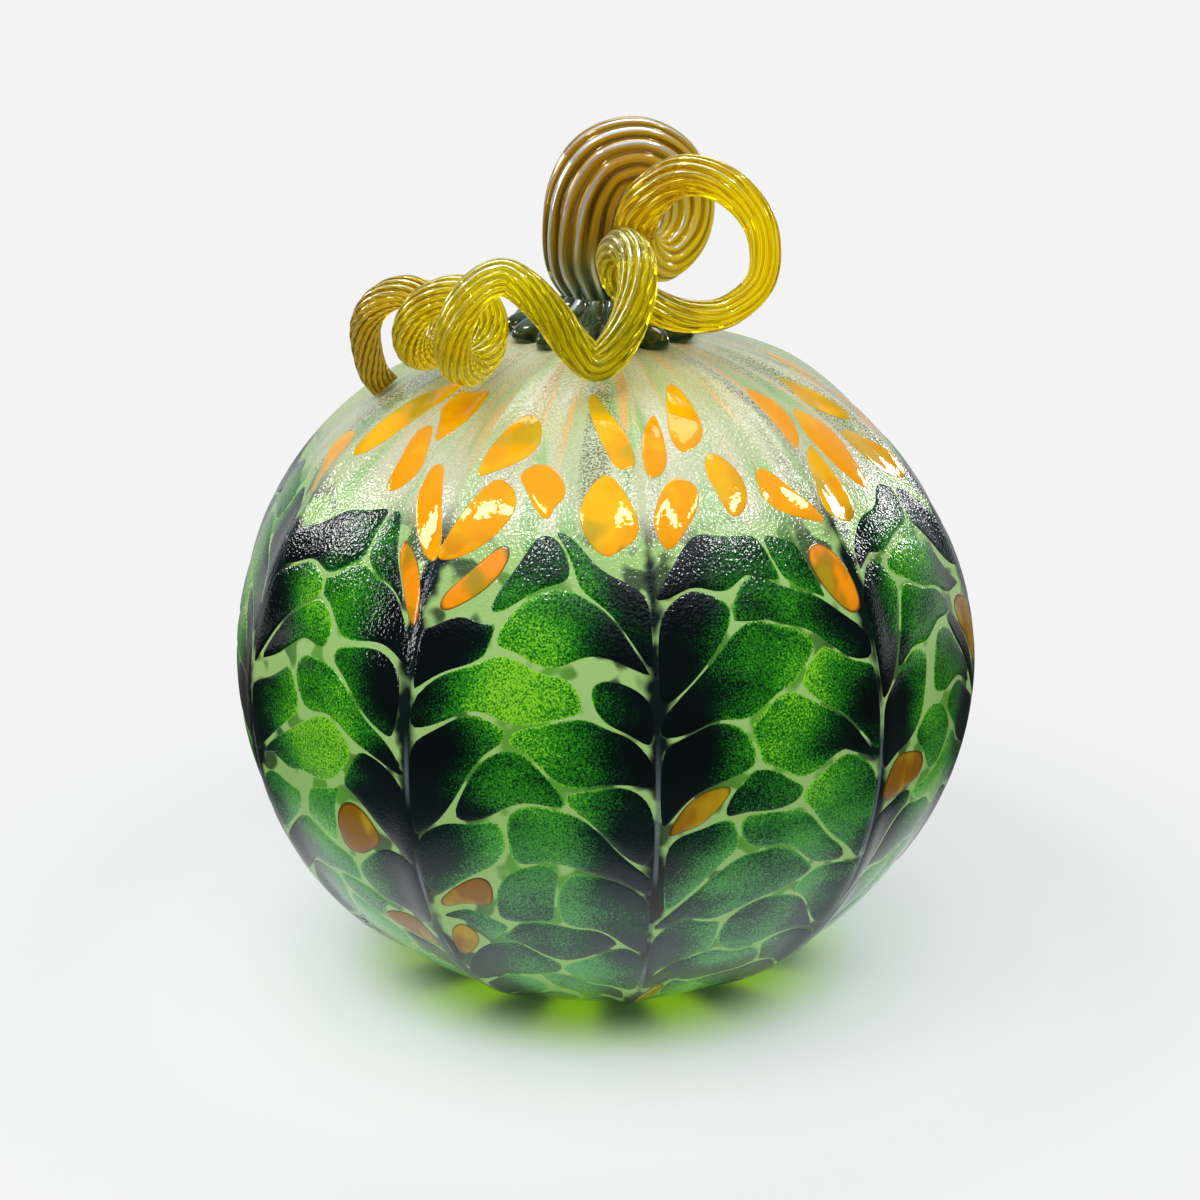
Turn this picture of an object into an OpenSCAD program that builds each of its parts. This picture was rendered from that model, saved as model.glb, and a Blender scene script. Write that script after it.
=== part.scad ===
// Glass pumpkin: a hollow blown body with moulded ribs, flakes of coloured glass fused to it,
// and a fluted stem drawn out into a loop and a curled tendril. All sizes are in millimetres.
// The object stands on the XY plane, its axis is Z, and its front looks along -Y.

/* [Body] */
// Width of the body over its ribs
body_w = 170; // [140:1:210]
// Height of the shoulder's crown above the table
body_h = 152; // [125:1:185]
// Height of the widest level above the table
waist_h = 74; // [60:1:90]
// Wall thickness of the blown shell
wall = 4.5; // [3:0.1:6]
// Number of ribs left by the mould
rib_count = 10; // [8:1:12]
// Height of a rib above the panels beside it
rib_h = 1.6; // [0.8:0.1:2]
// Half width of a rib, in degrees round the body
rib_half = 4; // [3:0.25:5]
// Turn of the first rib from the front, in degrees
rib_turn = 7.6; // [0:0.1:36]

/* [Base] */
// Radius of the ring that the body stands on
ring_r = 30; // [24:0.5:37]
// Rise of the pushed-in middle of the base
punt_h = 7; // [4:0.5:10]
// Depth of the flat ground on the ring
flat_cut = 0.5; // [0.3:0.05:0.7]

/* [Stem] */
// Diameter of the stem where it is thickest
stem_d = 17; // [13:0.5:20.5]
// Radius of the lobed foot that spreads over the shoulder
foot_r = 22; // [18:0.5:26.5]
// Height of the foot's lobes
foot_h = 4; // [3:0.25:5]
// Diameter of the blowing hole that the stem closes
neck_d = 15; // [12:0.5:18]
// Length of the plug that reaches down into the hole
plug_l = 9; // [7:0.5:12]

/* [Vine] */
// Diameter of the rod where the loop starts
loop_d = 9.6; // [8:0.2:11.6]
// Diameter of the rod where the tendril starts
tendril_d = 8.2; // [6.8:0.2:10]
// Number of flutes round the rod
flutes = 14; // [12:1:16]
// Depth of a flute, as a share of the rod's radius
flute_depth = 0.14; // [0.06:0.02:0.2]
// Twist of the flutes at the tendril's tip, in degrees per millimetre
tendril_twist = 5; // [2:0.5:5.5]

/* [Flakes] */
// Thickness of a fused flake at its edge
flake_t = 0.7; // [0.4:0.1:1]
// Width of the clear seam between shards
seam = 1.2; // [1:0.1:2.4]
// Number of rows of dark shards down the body
shard_rows = 11; // [9:1:13]
// Size of an orange chip, as a share of the place it fills
orange_scale = 0.92; // [0.6:0.02:0.96]

/* [Fit] */
// Clearance between pieces that lie on one another
seat = 0.3; // [0.2:0.05:0.4]

/* [Hidden] */

// Body: two half ellipsoids that share the waist, with ribs standing on them
panel_r = body_w / 2 - rib_h;
crown_b = body_h - waist_h - rib_h;
base_b = (waist_h + flat_cut) / sqrt(1 - pow(ring_r / panel_r, 2));
ring_lam = -acos(ring_r / panel_r);
rib_step = 360 / rib_count;
rib_start = rib_turn - 90;
// Ribs die out towards the crown and shrink towards the base ring
rib_fade = [[-90, 0.3], [-66, 0.4], [-45, 1], [56, 1], [73, 0], [90, 0]];
lam_rows = 21;
top_lam = 84;

function rib(theta, lam) =
    let (turn = (theta - rib_start) / rib_step)
    let (off = (turn - round(turn)) * rib_step)
    rib_h * lookup(lam, rib_fade) * exp(-pow(off / rib_half, 2));

// Point of the body's outer face at azimuth theta and latitude lam, raised by h
function surf(theta, lam, h = 0) =
    let (rise = rib(theta, lam) + h)
    let (r = (panel_r + rise) * cos(lam))
    let (b = (lam > 0 ? crown_b : base_b) + rise)
    [r * cos(theta), r * sin(theta), waist_h + b * sin(lam)];

// Height of the shoulder, over its ribs, at distance r from the axis
function shoulder_z(r) = waist_h + (body_h - waist_h) * sqrt(1 - pow(min(r / (body_w / 2), 1), 2));

// Height of the smooth crown inside the ribs, where the stem's foot spreads
function crown_z(r) = waist_h + crown_b * sqrt(1 - pow(r / panel_r, 2));

function unit(v) = v / norm(v);
function mean(list) = [for (item = list) 1 / len(list)] * list;

// Faces of a closed skin over m rings of n points, then a start point and an end point.
// The rings run anticlockwise about the direction from the first ring to the last.
function skin_faces(m, n) = concat(
    [for (i = [0:m - 2], j = [0:n - 1])
        let (a = i * n + j, b = i * n + (j + 1) % n)
        each [[a, a + n, b + n], [a, b + n, b]]],
    [for (j = [0:n - 1]) [n * m, j, (j + 1) % n]],
    [for (j = [0:n - 1]) [n * m + 1, n * (m - 1) + (j + 1) % n, n * (m - 1) + j]]);

module skin(rings, start, end) {
    points = concat([for (ring = rings) each ring], [start, end]);
    polyhedron(points, skin_faces(len(rings), len(rings[0])), convexity = 6);
}

// Azimuths of the outer face's columns: close together on a rib, wider over a panel
rib_columns = [0, 0.75 * rib_half, 1.75 * rib_half];
panel_span = rib_step - 2 * rib_columns[2];
column_offsets = concat(
    rib_columns,
    [for (share = [1, 2]) rib_columns[2] + panel_span * share / 3],
    [rib_step - rib_columns[2], rib_step - rib_columns[1]]);
columns = [for (k = [0:rib_count - 1], off = column_offsets) rib_start + k * rib_step + off];

// The pushed-in base rises from the ring to its middle on a cosine curve
function punt_z(r) = -flat_cut + (punt_h + flat_cut) * (1 + cos(180 * r / ring_r)) / 2;

module ribbed_form() {
    punt_rings = [for (r = [0.25, 0.5, 0.75])
        [for (t = columns) [r * ring_r * cos(t), r * ring_r * sin(t), punt_z(r * ring_r)]]];
    outer_rings = [for (i = [0:lam_rows])
        let (lam = ring_lam + (top_lam - ring_lam) * i / lam_rows)
        [for (t = columns) surf(t, lam)]];
    skin(concat(punt_rings, outer_rings), [0, 0, punt_z(0)], [0, 0, waist_h + crown_b]);
}

// Hollow of the shell: offset half ellipsoids, closed below by the base and open at the neck
module hollow() {
    inner_r = panel_r - wall;
    inner_top = crown_b - wall;
    inner_base = base_b - wall;
    neck_lam = acos(neck_d / 2 / inner_r);
    floor_lam = -acos(ring_r / inner_r);
    arc = [for (i = [0:18])
        let (lam = neck_lam + (floor_lam - neck_lam) * i / 18)
        [inner_r * cos(lam), waist_h + (lam > 0 ? inner_top : inner_base) * sin(lam)]];
    floor_z = arc[18][1];
    dome = [for (i = [1:5])
        let (r = ring_r * (1 - i / 5))
        [r, floor_z + (punt_z(r) - punt_z(ring_r))]];
    rotate_extrude($fn = 96)
        polygon(concat([[0, body_h + wall], [neck_d / 2, body_h + wall]], arc, dome));
}

module body() {
    color([0.55, 0.72, 0.45, 0.6])
        difference() {
            ribbed_form();
            hollow();
            translate([0, 0, -wall])
                cylinder(d = body_w, h = wall, $fn = 96);
        }
}

// Route of the drawn rod. Each point is [x, y, clear height over the shoulder, share of the diameter].
stem_route = [
    [-1, 0, -3.2, 0.80], [-2.5, 0, 0.2, 0.80], [-4.5, 0.5, 4, 0.94], [-5, 1, 10, 0.99], [-4, 2, 18, 1],
    [0, 3, 25, 0.97], [7.5, 4.5, 28.5, 0.89], [14.5, 6, 27, 0.81], [18.5, 7, 21.5, 0.73],
    [18, 6, 14, 0.67], [13.5, 2, 8.5, 0.61], [9, -4, 10, 0.58]];
// The loop and the tendril's bend stay clear in front of the stem, so y counts from there
front_y = -(stem_d + loop_d) / 2;
loop_route = [
    [7, 4.5, 16.5, 1], [9.5, 0, 25, 1], [17, -3, 32.5, 0.94], [26.5, -4.5, 33.5, 0.85],
    [33.5, -5.5, 28.5, 0.75], [34, -6, 18, 0.69], [27, -6.5, 8.5, 0.71], [18.5, -7, 5, 0.75],
    [10.5, -7, 6, 0.79]];
bend_route = [
    [4.5, -6.5, 9.5, 0.98], [2.5, -8, 15.5, 1], [4.5, -12, 20, 1.02], [7, -16.5, 19.5, 1.02],
    [7, -20, 14, 1.02], [4, -22, 6.5, 1], [-1, -22.5, 1.2, 0.98], [-6, -22.5, 5, 0.98],
    [-11, -22.5, 12.5, 0.98], [-17, -22.5, 19.5, 0.98]];

// The tendril winds round a ring that follows the shoulder, as the turns go by
turn_list = [for (i = [0:18]) i / 8];
coil_azimuth = [[0, -121], [1, -140.5], [2, -163], [2.5, -174]];
coil_ring_r = [[0, 42.4], [1.5, 42.6], [2, 44.8], [2.5, 45.6]];
coil_r = [[0, 10.2], [0.5, 10.2], [1, 7.2], [1.5, 6.4], [2, 6.8], [2.25, 7.6]];
coil_clear = [[0, 2.2], [1, 3.2], [2, 3], [2.25, 0.6]];
coil_share = [[0, 0.98], [2.25, 0.84]];
// Azimuth and distance from the axis where the tip of the tendril rests on the shoulder. The tip is
// let down to its seat and a share of its radius, which allows for its tilt.
tip_theta = -174;
tip_out = 47.8;
tip_lam = acos(tip_out / panel_r);
tip_share = 0.82;
tip_rise = 6;
tip_tilt = 0.11;

function rod_point(p, d, y0) =
    let (y = p[1] + y0, r = p[3] * d / 2)
    [p[0], y, shoulder_z(norm([p[0], y])) + p[2] + r, r];

function coil_point(turn) =
    let (r = lookup(turn, coil_share) * tendril_d / 2, ring_at = lookup(turn, coil_ring_r))
    let (wind = lookup(turn, coil_r), theta = lookup(turn, coil_azimuth))
    let (out = ring_at + wind * sin(360 * turn), low = shoulder_z(ring_at) + lookup(turn, coil_clear))
    [out * cos(theta), out * sin(theta), low + r + wind * (1 + cos(360 * turn)), r];

tip_r = tip_share * tendril_d / 2;
tip_normal = unit([
    cos(tip_lam) * cos(tip_theta) / panel_r,
    cos(tip_lam) * sin(tip_theta) / panel_r,
    sin(tip_lam) / crown_b]);
function tip_point(rise) = concat(surf(tip_theta, tip_lam) + rise * tip_normal, tip_r);

rod_points = concat(
    [for (p = stem_route) rod_point(p, stem_d, 0)],
    [for (p = loop_route) rod_point(p, loop_d, front_y)],
    [for (p = bend_route) rod_point(p, tendril_d, front_y)],
    [for (turn = turn_list) coil_point(turn)],
    [for (rise = [tip_rise, seat + tip_tilt * tip_r]) tip_point(rise)]);

// Smooth curve through the points, in equal steps of each span
steps = 2;
spans = len(rod_points) - 1;
function rod_at(i) = rod_points[max(0, min(spans, i))];
function curve(a, b, c, d, t) =
    0.5 * (2 * b + (c - a) * t + (2 * a - 5 * b + 4 * c - d) * t * t + (3 * b - a - 3 * c + d) * t * t * t);
rod = [for (i = [0:spans * steps])
    let (k = min(floor(i / steps), spans - 1))
    curve(rod_at(k - 1), rod_at(k), rod_at(k + 1), rod_at(k + 2), i / steps - k)];
rod_end = len(rod) - 1;
function place(i) = [rod[i][0], rod[i][1], rod[i][2]];
function along(i) = unit(place(min(i + 1, rod_end)) - place(max(i - 1, 0)));

// The cross direction is carried along the rod without turning about it
function carried(u, t) = unit(u - (u * t) * t);
across = [for (i = 0, u = carried([1, 0, 0], along(0)); i <= rod_end;
    i = i + 1, u = carried(u, along(min(i, rod_end)))) u];

// Twist grows from nearly straight flutes on the stem to a rope lay at the tendril's tip
loop_start = len(stem_route) * steps;
tendril_start = loop_start + len(loop_route) * steps;
stem_twist = 0.8;
function twist_rate(i) =
    let (share = max(0, (i - loop_start) / (rod_end - loop_start)))
    stem_twist + (tendril_twist - stem_twist) * share;
twist = [for (i = 0, a = 0; i <= rod_end;
    a = a + twist_rate(i) * norm(place(min(i + 1, rod_end)) - place(i)), i = i + 1) a];

function fluted_ring(centre, u, v, r, depth, phase) =
    [for (j = [0:2 * flutes - 1])
        let (a = 180 * j / flutes + phase, rr = r * (1 - depth * (j % 2)))
        centre + rr * (cos(a) * u + sin(a) * v)];

function rod_ring(i) =
    fluted_ring(place(i), across[i], cross(along(i), across[i]), rod[i][3], flute_depth, twist[i]);

module rod_stretch(first, last) {
    skin([for (i = [first:last]) rod_ring(i)], place(first), place(last));
}

// The foot: a plug in the blowing hole, an underside that follows the shoulder, and lobes
plug_r = neck_d / 2 - seat;
lobe_depth = 0.11;
foot_profile = [
    [plug_r * 0.85, body_h - plug_l, 0],
    [plug_r, body_h - plug_l + 1.5, 0],
    [plug_r, crown_z(plug_r) + seat, 0],
    [foot_r * 0.88, crown_z(foot_r * 0.88 * (1 - lobe_depth)) + seat, lobe_depth],
    [foot_r, crown_z(foot_r) + seat + foot_h * 0.4, lobe_depth],
    [foot_r * 0.92, crown_z(foot_r * 0.92) + seat + foot_h * 0.85, lobe_depth],
    [foot_r * 0.72, crown_z(foot_r * 0.72) + seat + foot_h * 1.05, lobe_depth],
    [foot_r * 0.52, crown_z(foot_r * 0.52) + seat + foot_h * 1.2, lobe_depth]];
// The foot's own rings end below the first ring of the column
foot_rings = [for (p = foot_profile)
    fluted_ring([0, 0, p[1]], [1, 0, 0], [0, 1, 0], p[0], p[2], 0)];

module stem() {
    color([0.45, 0.36, 0.12])
        skin(
            concat(foot_rings, [for (i = [0:loop_start]) rod_ring(i)]),
            [0, 0, foot_profile[0][1]],
            place(loop_start));
}

module loop() {
    color([0.80, 0.66, 0.08])
        rod_stretch(loop_start, tendril_start);
}

module tendril() {
    color([0.66, 0.58, 0.06])
        rod_stretch(tendril_start, rod_end);
}

// Least gap between turns of the rod that lie more than a few diameters apart along it
far_steps = 8;
gaps = [for (i = [0:rod_end - far_steps], j = [i + far_steps:rod_end])
    norm(place(i) - place(j)) - rod[i][3] - rod[j][3]];
echo("least gap between turns of the rod", min(gaps));

// Flakes: thin crowned plates that lie on the body's outer face, one for each outline. A longer flake
// has a higher crown: halfway out, its flat facets sink reach^2 / (8 * panel_r) towards the body.
flake_inset = 0.86;
least_crown = 0.5;
facet_clear = 0.1;
function flake_points(outline) =
    let (mid = mean(outline), middle = surf(mid[0], mid[1]))
    let (reach = max([for (q = outline) norm(surf(q[0], q[1]) - middle)]))
    let (crown = max(least_crown, reach * reach / (4 * panel_r) - 2 * (seat - facet_clear)))
    let (inner = [for (q = outline) mid + flake_inset * (q - mid)])
    concat(
        [for (q = outline) surf(q[0], q[1], seat)],
        [for (q = inner) surf(q[0], q[1], seat + flake_t)],
        [surf(mid[0], mid[1], seat + crown)],
        [surf(mid[0], mid[1], seat + flake_t + crown)]);

module flakes(outlines) {
    starts = [for (k = 0, at = 0; k < len(outlines); at = at + 2 * len(outlines[k]) + 2, k = k + 1) at];
    points = [for (outline = outlines) each flake_points(outline)];
    faces = [for (k = [0:len(outlines) - 1], face = skin_faces(2, len(outlines[k])))
        [for (i = face) i + starts[k]]];
    polyhedron(points, faces, convexity = 6);
}

// Repeatable scatter between 0 and 1, and between -1 and 1
function scatter(a, b, c) =
    let (s = 437.585 * sin(127.1 * a + 311.7 * b + 74.7 * c))
    s - floor(s);
function spread(a, b, c) = 2 * scatter(a, b, c) - 1;

// A panel is unrolled to a flat, drawn in across by a stretch that sets how long and low its cells are.
// u runs from -1 to 1 between the ribs.
panel_half = panel_r * rib_step / 2 * PI / 180;
degree_mm = body_h / 2 * PI / 180;
panel_edge = 0.975;
function flat(u, lam, stretch) = [u * panel_half / stretch, lam * degree_mm];
function flat_u(p, stretch) = p[0] * stretch / panel_half;
function rolled(panel, u, lam) = [rib_start + (panel + 0.5 + u / 2) * rib_step, lam];

// The part of a convex outline where p * normal is at most limit
function clipped(outline, normal, limit) =
    [for (i = [0:1:len(outline) - 1])
        let (a = outline[i], b = outline[(i + 1) % len(outline)])
        let (da = a * normal - limit, db = b * normal - limit)
        each concat(da <= 0 ? [a] : [], da * db < 0 ? [a + (b - a) * da / (da - db)] : [])];

// The same, less half a seam along the new edge
function bordered(outline, normal, limit, stretch) =
    clipped(outline, normal, limit - seam / 2 * norm([normal[0] / stretch, normal[1]]));

// Cell of the points that lie nearer to one seed than to the others
function cell(own, all, outline, stretch, k = 0) =
    k == len(all) ? outline
    : all[k] == own ? cell(own, all, outline, stretch, k + 1)
    : let (limit = (all[k] * all[k] - own * own) / 2)
    cell(own, all, bordered(outline, all[k] - own, limit, stretch), stretch, k + 1);

// Corners closer together than the least edge become one, and edges are parted down to the longest
// one allowed, so that an outline follows the curve of the body
least_edge = 0.6;
longest_edge = 12;
function cleaned(outline) =
    [for (i = [0:1:len(outline) - 1])
        if (norm(outline[i] - outline[(i + 1) % len(outline)]) > least_edge) outline[i]];
function parted(outline, stretch) =
    [for (i = [0:1:len(outline) - 1])
        let (a = outline[i], step = outline[(i + 1) % len(outline)] - a)
        let (parts = ceil(norm([step[0] * stretch, step[1]]) / longest_edge))
        each [for (k = [0:parts - 1]) a + step * k / parts]];

// Shards fill each panel between two latitudes, under an arch that drops towards the ribs
shard_top = 38;
shard_end = -61;
shard_arch = 10;
arch_loss = 0.6;
shard_stretch = 1.9;
row_step = (shard_top - shard_end) / shard_rows;
function arch_at(row) = shard_arch * (1 - arch_loss * row / shard_rows);
shard_zone = concat(
    [for (u = [-panel_edge, panel_edge]) flat(u, shard_end, shard_stretch)],
    [for (k = [2:-1:-2])
        let (u = panel_edge * k / 2)
        flat(u, shard_top - shard_arch * u * u, shard_stretch)]);

// Two seeds in each row, pushed about
seed_u = 0.5;
row_shift = 0.28;
u_spread = 0.17;
row_spread = 0.32;
function shard_seed(panel, row, side) =
    let (u = side * seed_u + (row % 2 == 0 ? row_shift : -row_shift) + u_spread * spread(panel, row, side))
    let (mid_row = row + 0.5 + row_spread * spread(panel, row, side + 4))
    flat(u, shard_top - mid_row * row_step - arch_at(row) * u * u, shard_stretch);
function shard_seeds(panel) =
    [for (row = [0:shard_rows - 1], side = [-1, 1]) shard_seed(panel, row, side)];

// In each run of cells one is split on a slant, into a green shard and an amber chip on the side of the
// nearer rib
amber_run = 7;
split_slant = 0.6;
function is_split(panel, k) =
    k % amber_run == floor(amber_run * scatter(panel, floor(k / amber_run), 5));
function split(whole, normal, side) =
    bordered(whole, side * normal, side * mean(whole) * normal, shard_stretch);
function shard_outlines(amber) =
    [for (panel = [0:rib_count - 1])
        let (all = shard_seeds(panel))
        each [for (k = [0:len(all) - 1])
            let (whole = cell(all[k], all, shard_zone, shard_stretch))
            let (normal = [all[k][0] < 0 ? -1 : 1, split_slant * spread(panel, k, 6)])
            let (both = is_split(panel, k))
            if (both || !amber)
                let (part = both ? split(whole, normal, amber ? -1 : 1) : whole)
                [for (p = parted(cleaned(part), shard_stretch))
                    rolled(panel, flat_u(p, shard_stretch), p[1] / degree_mm)]]];

module green_shards() {
    color([0.05, 0.22, 0.10])
        flakes(shard_outlines(false));
}

module amber_chips() {
    color([0.55, 0.33, 0.05])
        flakes(shard_outlines(true));
}

// Orange chips lie in cells of their own above the shards, in rows of three that keep to the same arch
chip_zone_low = 39.5;
chip_zone_high = 66;
chip_rows = [46, 58.5];
chip_columns = [-0.66, 0, 0.66];
chip_stretch = 0.8;
chip_share = 0.74;
chip_u_spread = 0.16;
chip_lam_spread = 3;
chip_shrink = 0.22;
chip_corner = 0.25;
chip_zone = [
    flat(-panel_edge, chip_zone_low, chip_stretch), flat(panel_edge, chip_zone_low, chip_stretch),
    flat(panel_edge, chip_zone_high, chip_stretch), flat(-panel_edge, chip_zone_high, chip_stretch)];
function chip_seeds(panel) =
    [for (row = [0:len(chip_rows) - 1], column = [0:len(chip_columns) - 1])
        let (key = row * len(chip_columns) + column)
        flat(
            chip_columns[column] + chip_u_spread * spread(panel, key, 8),
            chip_rows[row] + chip_lam_spread * spread(panel, key, 7),
            chip_stretch)];
// Each corner of a chip is melted back along its two edges
function melted(outline) =
    [for (i = [0:len(outline) - 1])
        let (a = outline[i], b = outline[(i + 1) % len(outline)])
        each [a + chip_corner * (b - a), b + chip_corner * (a - b)]];
// A chip is left out where the tendril's tip rests
tip_room = 3 * tip_r;
function off_tip(outline) =
    min([for (q = outline) norm(surf(q[0], q[1]) - surf(tip_theta, tip_lam))]) > tip_room;
function chip_outlines() =
    [for (panel = [0:rib_count - 1])
        let (all = chip_seeds(panel))
        each [for (k = [0:len(all) - 1])
            let (whole = cleaned(cell(all[k], all, chip_zone, chip_stretch)), mid = mean(whole))
            let (share = orange_scale * (1 - chip_shrink * scatter(panel, k, 9)))
            let (chip = [for (p = melted(whole))
                let (q = mid + share * (p - mid), u = flat_u(q, chip_stretch))
                rolled(panel, u, q[1] / degree_mm - shard_arch * u * u)])
            if (scatter(panel, k, 13) < chip_share && off_tip(chip))
                chip]];

module orange_chips() {
    color([0.95, 0.52, 0.05])
        flakes(chip_outlines());
}

body();
stem();
loop();
tendril();
green_shards();
orange_chips();
amber_chips();
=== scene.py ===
"""Looks of a glass pumpkin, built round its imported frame.

Lengths are metres and angles are degrees, in the frame's own axes: +Z is up, -Y is the front and
the base ring stands on z = 0. The body, the shards and chips on it and the drawn vine are surfaces
worked out with numpy.
"""

import logging
import math
from dataclasses import dataclass
from enum import Enum, IntEnum
from typing import Any, Sequence

import bpy
import numpy as np
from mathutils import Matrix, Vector


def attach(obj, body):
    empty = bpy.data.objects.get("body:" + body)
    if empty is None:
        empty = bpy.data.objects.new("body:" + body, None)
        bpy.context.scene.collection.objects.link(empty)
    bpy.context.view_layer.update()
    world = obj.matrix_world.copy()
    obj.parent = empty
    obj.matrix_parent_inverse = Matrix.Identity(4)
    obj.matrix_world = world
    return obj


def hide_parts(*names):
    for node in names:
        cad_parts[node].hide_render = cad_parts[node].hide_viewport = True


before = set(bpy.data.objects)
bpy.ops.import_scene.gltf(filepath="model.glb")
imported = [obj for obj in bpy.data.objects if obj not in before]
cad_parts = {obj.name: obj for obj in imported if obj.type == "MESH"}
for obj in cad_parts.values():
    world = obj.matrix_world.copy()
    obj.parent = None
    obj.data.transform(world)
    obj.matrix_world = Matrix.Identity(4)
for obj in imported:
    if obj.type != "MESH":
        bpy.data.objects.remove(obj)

LOG = logging.getLogger("pumpkin")
Array = np.ndarray
Colour = tuple[float, float, float]
Place = tuple[float, float, float]
Span = tuple[float, float]
Outline = tuple[Array, Array]
Piece = bpy.types.Object
Material = bpy.types.Material
Socket = bpy.types.NodeSocket
Table = tuple[tuple[float, ...], ...]
Stops = tuple[tuple[float, Colour], ...]
MM = 0.001
SCATTER_WEIGHTS = (127.1, 311.7, 74.7)
SCATTER_SCALE = 437.585
GLASS_IOR = 1.5
RIGHT_ANGLE = 90.0


def lookup(at: Any, table: Table) -> Array:
    """Straight-line interpolation in a table of (place, value) pairs.

    Args:
        at: place or places to look up.
        table: pairs in rising order of place.

    Returns:
        The values at those places, held constant past either end.
    """
    places, values = np.array(table, float).T
    return np.interp(at, places, values)


def scatter(a: float, b: float, c: float) -> float:
    """A repeatable number from three keys: the fraction of a large multiple of a sine.

    Args:
        a: first key.
        b: second key.
        c: third key.

    Returns:
        A number from 0 to 1.
    """
    of_a, of_b, of_c = SCATTER_WEIGHTS
    value = SCATTER_SCALE * math.sin(math.radians(of_a * a + of_b * b + of_c * c))
    return value - math.floor(value)


def spread(a: float, b: float, c: float) -> float:
    """A repeatable number between -1 and 1."""
    return 2 * scatter(a, b, c) - 1


def smooth_curve(points: Array, steps: int) -> Array:
    """Curve through points: a cubic on each span, with end slopes of half the neighbours' step.

    Args:
        points: (n, k) array of places, each with any further values carried along.
        steps: samples per span.

    Returns:
        ((n - 1) * steps + 1, k) array.
    """
    padded = np.vstack([points[:1], points, points[-1:]])
    a, b, c, d = padded[:-3, None], padded[1:-2, None], padded[2:-1, None], padded[3:, None]
    t = (np.arange(steps) / steps)[None, :, None]
    square, cube = 2 * a - 5 * b + 4 * c - d, 3 * b - a - 3 * c + d
    spans = 0.5 * (2 * b + (c - a) * t + square * t**2 + cube * t**3)
    return np.vstack([spans.reshape(-1, points.shape[1]), points[-1:]])


def ring_faces(rings: int, columns: int) -> list[list[int]]:
    """Faces of a closed skin: quads between neighbouring rings, and a fan to a pole at each end.

    Args:
        rings: number of rings, each anticlockwise about the way from the first to the last.
        columns: points in a ring. The start pole and the end pole follow the last ring.

    Returns:
        Vertex numbers of each face, turned outwards.
    """
    i = np.arange(rings - 1)[:, None] * columns
    j = np.arange(columns)[None, :]
    k = (j + 1) % columns
    quads = np.stack([i + j, i + k, i + k + columns, i + j + columns], -1).reshape(-1, 4)
    start, end, last = rings * columns, rings * columns + 1, (rings - 1) * columns
    first_fan = np.stack([np.full(columns, start), k[0], j[0]], -1)
    last_fan = np.stack([np.full(columns, end), last + j[0], last + k[0]], -1)
    return quads.tolist() + first_fan.tolist() + last_fan.tolist()


def make_piece(
    name: str, points: Array, faces: list[list[int]], values: dict[str, Array]
) -> Piece:
    """Puts a surface into a new smooth-shaded mesh object at the origin.

    Args:
        name: name of the object and its mesh.
        points: (n, 3) array of places.
        faces: vertex numbers of each face, turned outwards.
        values: a number for each vertex under each attribute name, which the finish reads.

    Returns:
        The object, linked to the scene.
    """
    mesh = bpy.data.meshes.new(name)
    mesh.from_pydata(points.tolist(), [], faces)
    mesh.polygons.foreach_set("use_smooth", np.ones(len(mesh.polygons), bool))
    for key, numbers in values.items():
        layer = mesh.attributes.new(key, "FLOAT", "POINT")
        layer.data.foreach_set("value", np.ascontiguousarray(numbers, np.float32))
    mesh.validate()
    mesh.update()
    piece = bpy.data.objects.new(name, mesh)
    bpy.context.scene.collection.objects.link(piece)
    return piece


def settle(piece: Piece, finish: Material, slot: str, *nodes: str) -> Piece:
    """Gives a piece its material and its body, and hides the frame nodes that it stands for.

    Args:
        piece: the finished mesh object.
        finish: its material.
        slot: not used.
        nodes: names of the frame nodes that it replaces.

    Returns:
        The same object.
    """
    piece.data.materials.append(finish)
    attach(piece, "root")
    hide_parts(*nodes)
    return piece


class Number:
    """A number socket of a node tree, on which Python's operators add Math nodes."""

    def __init__(self, nodes: "Nodes", socket: Socket) -> None:
        """Wraps a socket of the given tree."""
        self.nodes = nodes
        self.socket = socket

    def __add__(self, other: Any) -> "Number":
        """Sum."""
        return self.nodes.math("ADD", self, other)

    def __sub__(self, other: Any) -> "Number":
        """Difference."""
        return self.nodes.math("SUBTRACT", self, other)

    def __rsub__(self, other: Any) -> "Number":
        """Difference with a plain number first."""
        return self.nodes.math("SUBTRACT", other, self)

    def __mul__(self, other: Any) -> "Number":
        """Product."""
        return self.nodes.math("MULTIPLY", self, other)

    __radd__ = __add__
    __rmul__ = __mul__

    def centred(self) -> "Number":
        """Less a half, the middle of noises and tints."""
        return self - 0.5

    def raised(self, least: float) -> "Number":
        """Drawn up, so that 0 becomes least and 1 stays 1."""
        return least + (1 - least) * self

    def step(self, low: float, high: float) -> "Number":
        """Smooth rise between two values, or a fall where low is the larger.

        Args:
            low: value where the result is 0.
            high: value where the result is 1.

        Returns:
            The rise, from 0 to 1.
        """
        node = self.nodes.node(
            "ShaderNodeMapRange",
            {"interpolation_type": "SMOOTHSTEP"},
            {"Value": self, "From Min": min(low, high), "From Max": max(low, high)},
        )
        rise = Number(self.nodes, node.outputs["Result"])
        return rise if low < high else 1 - rise


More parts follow.
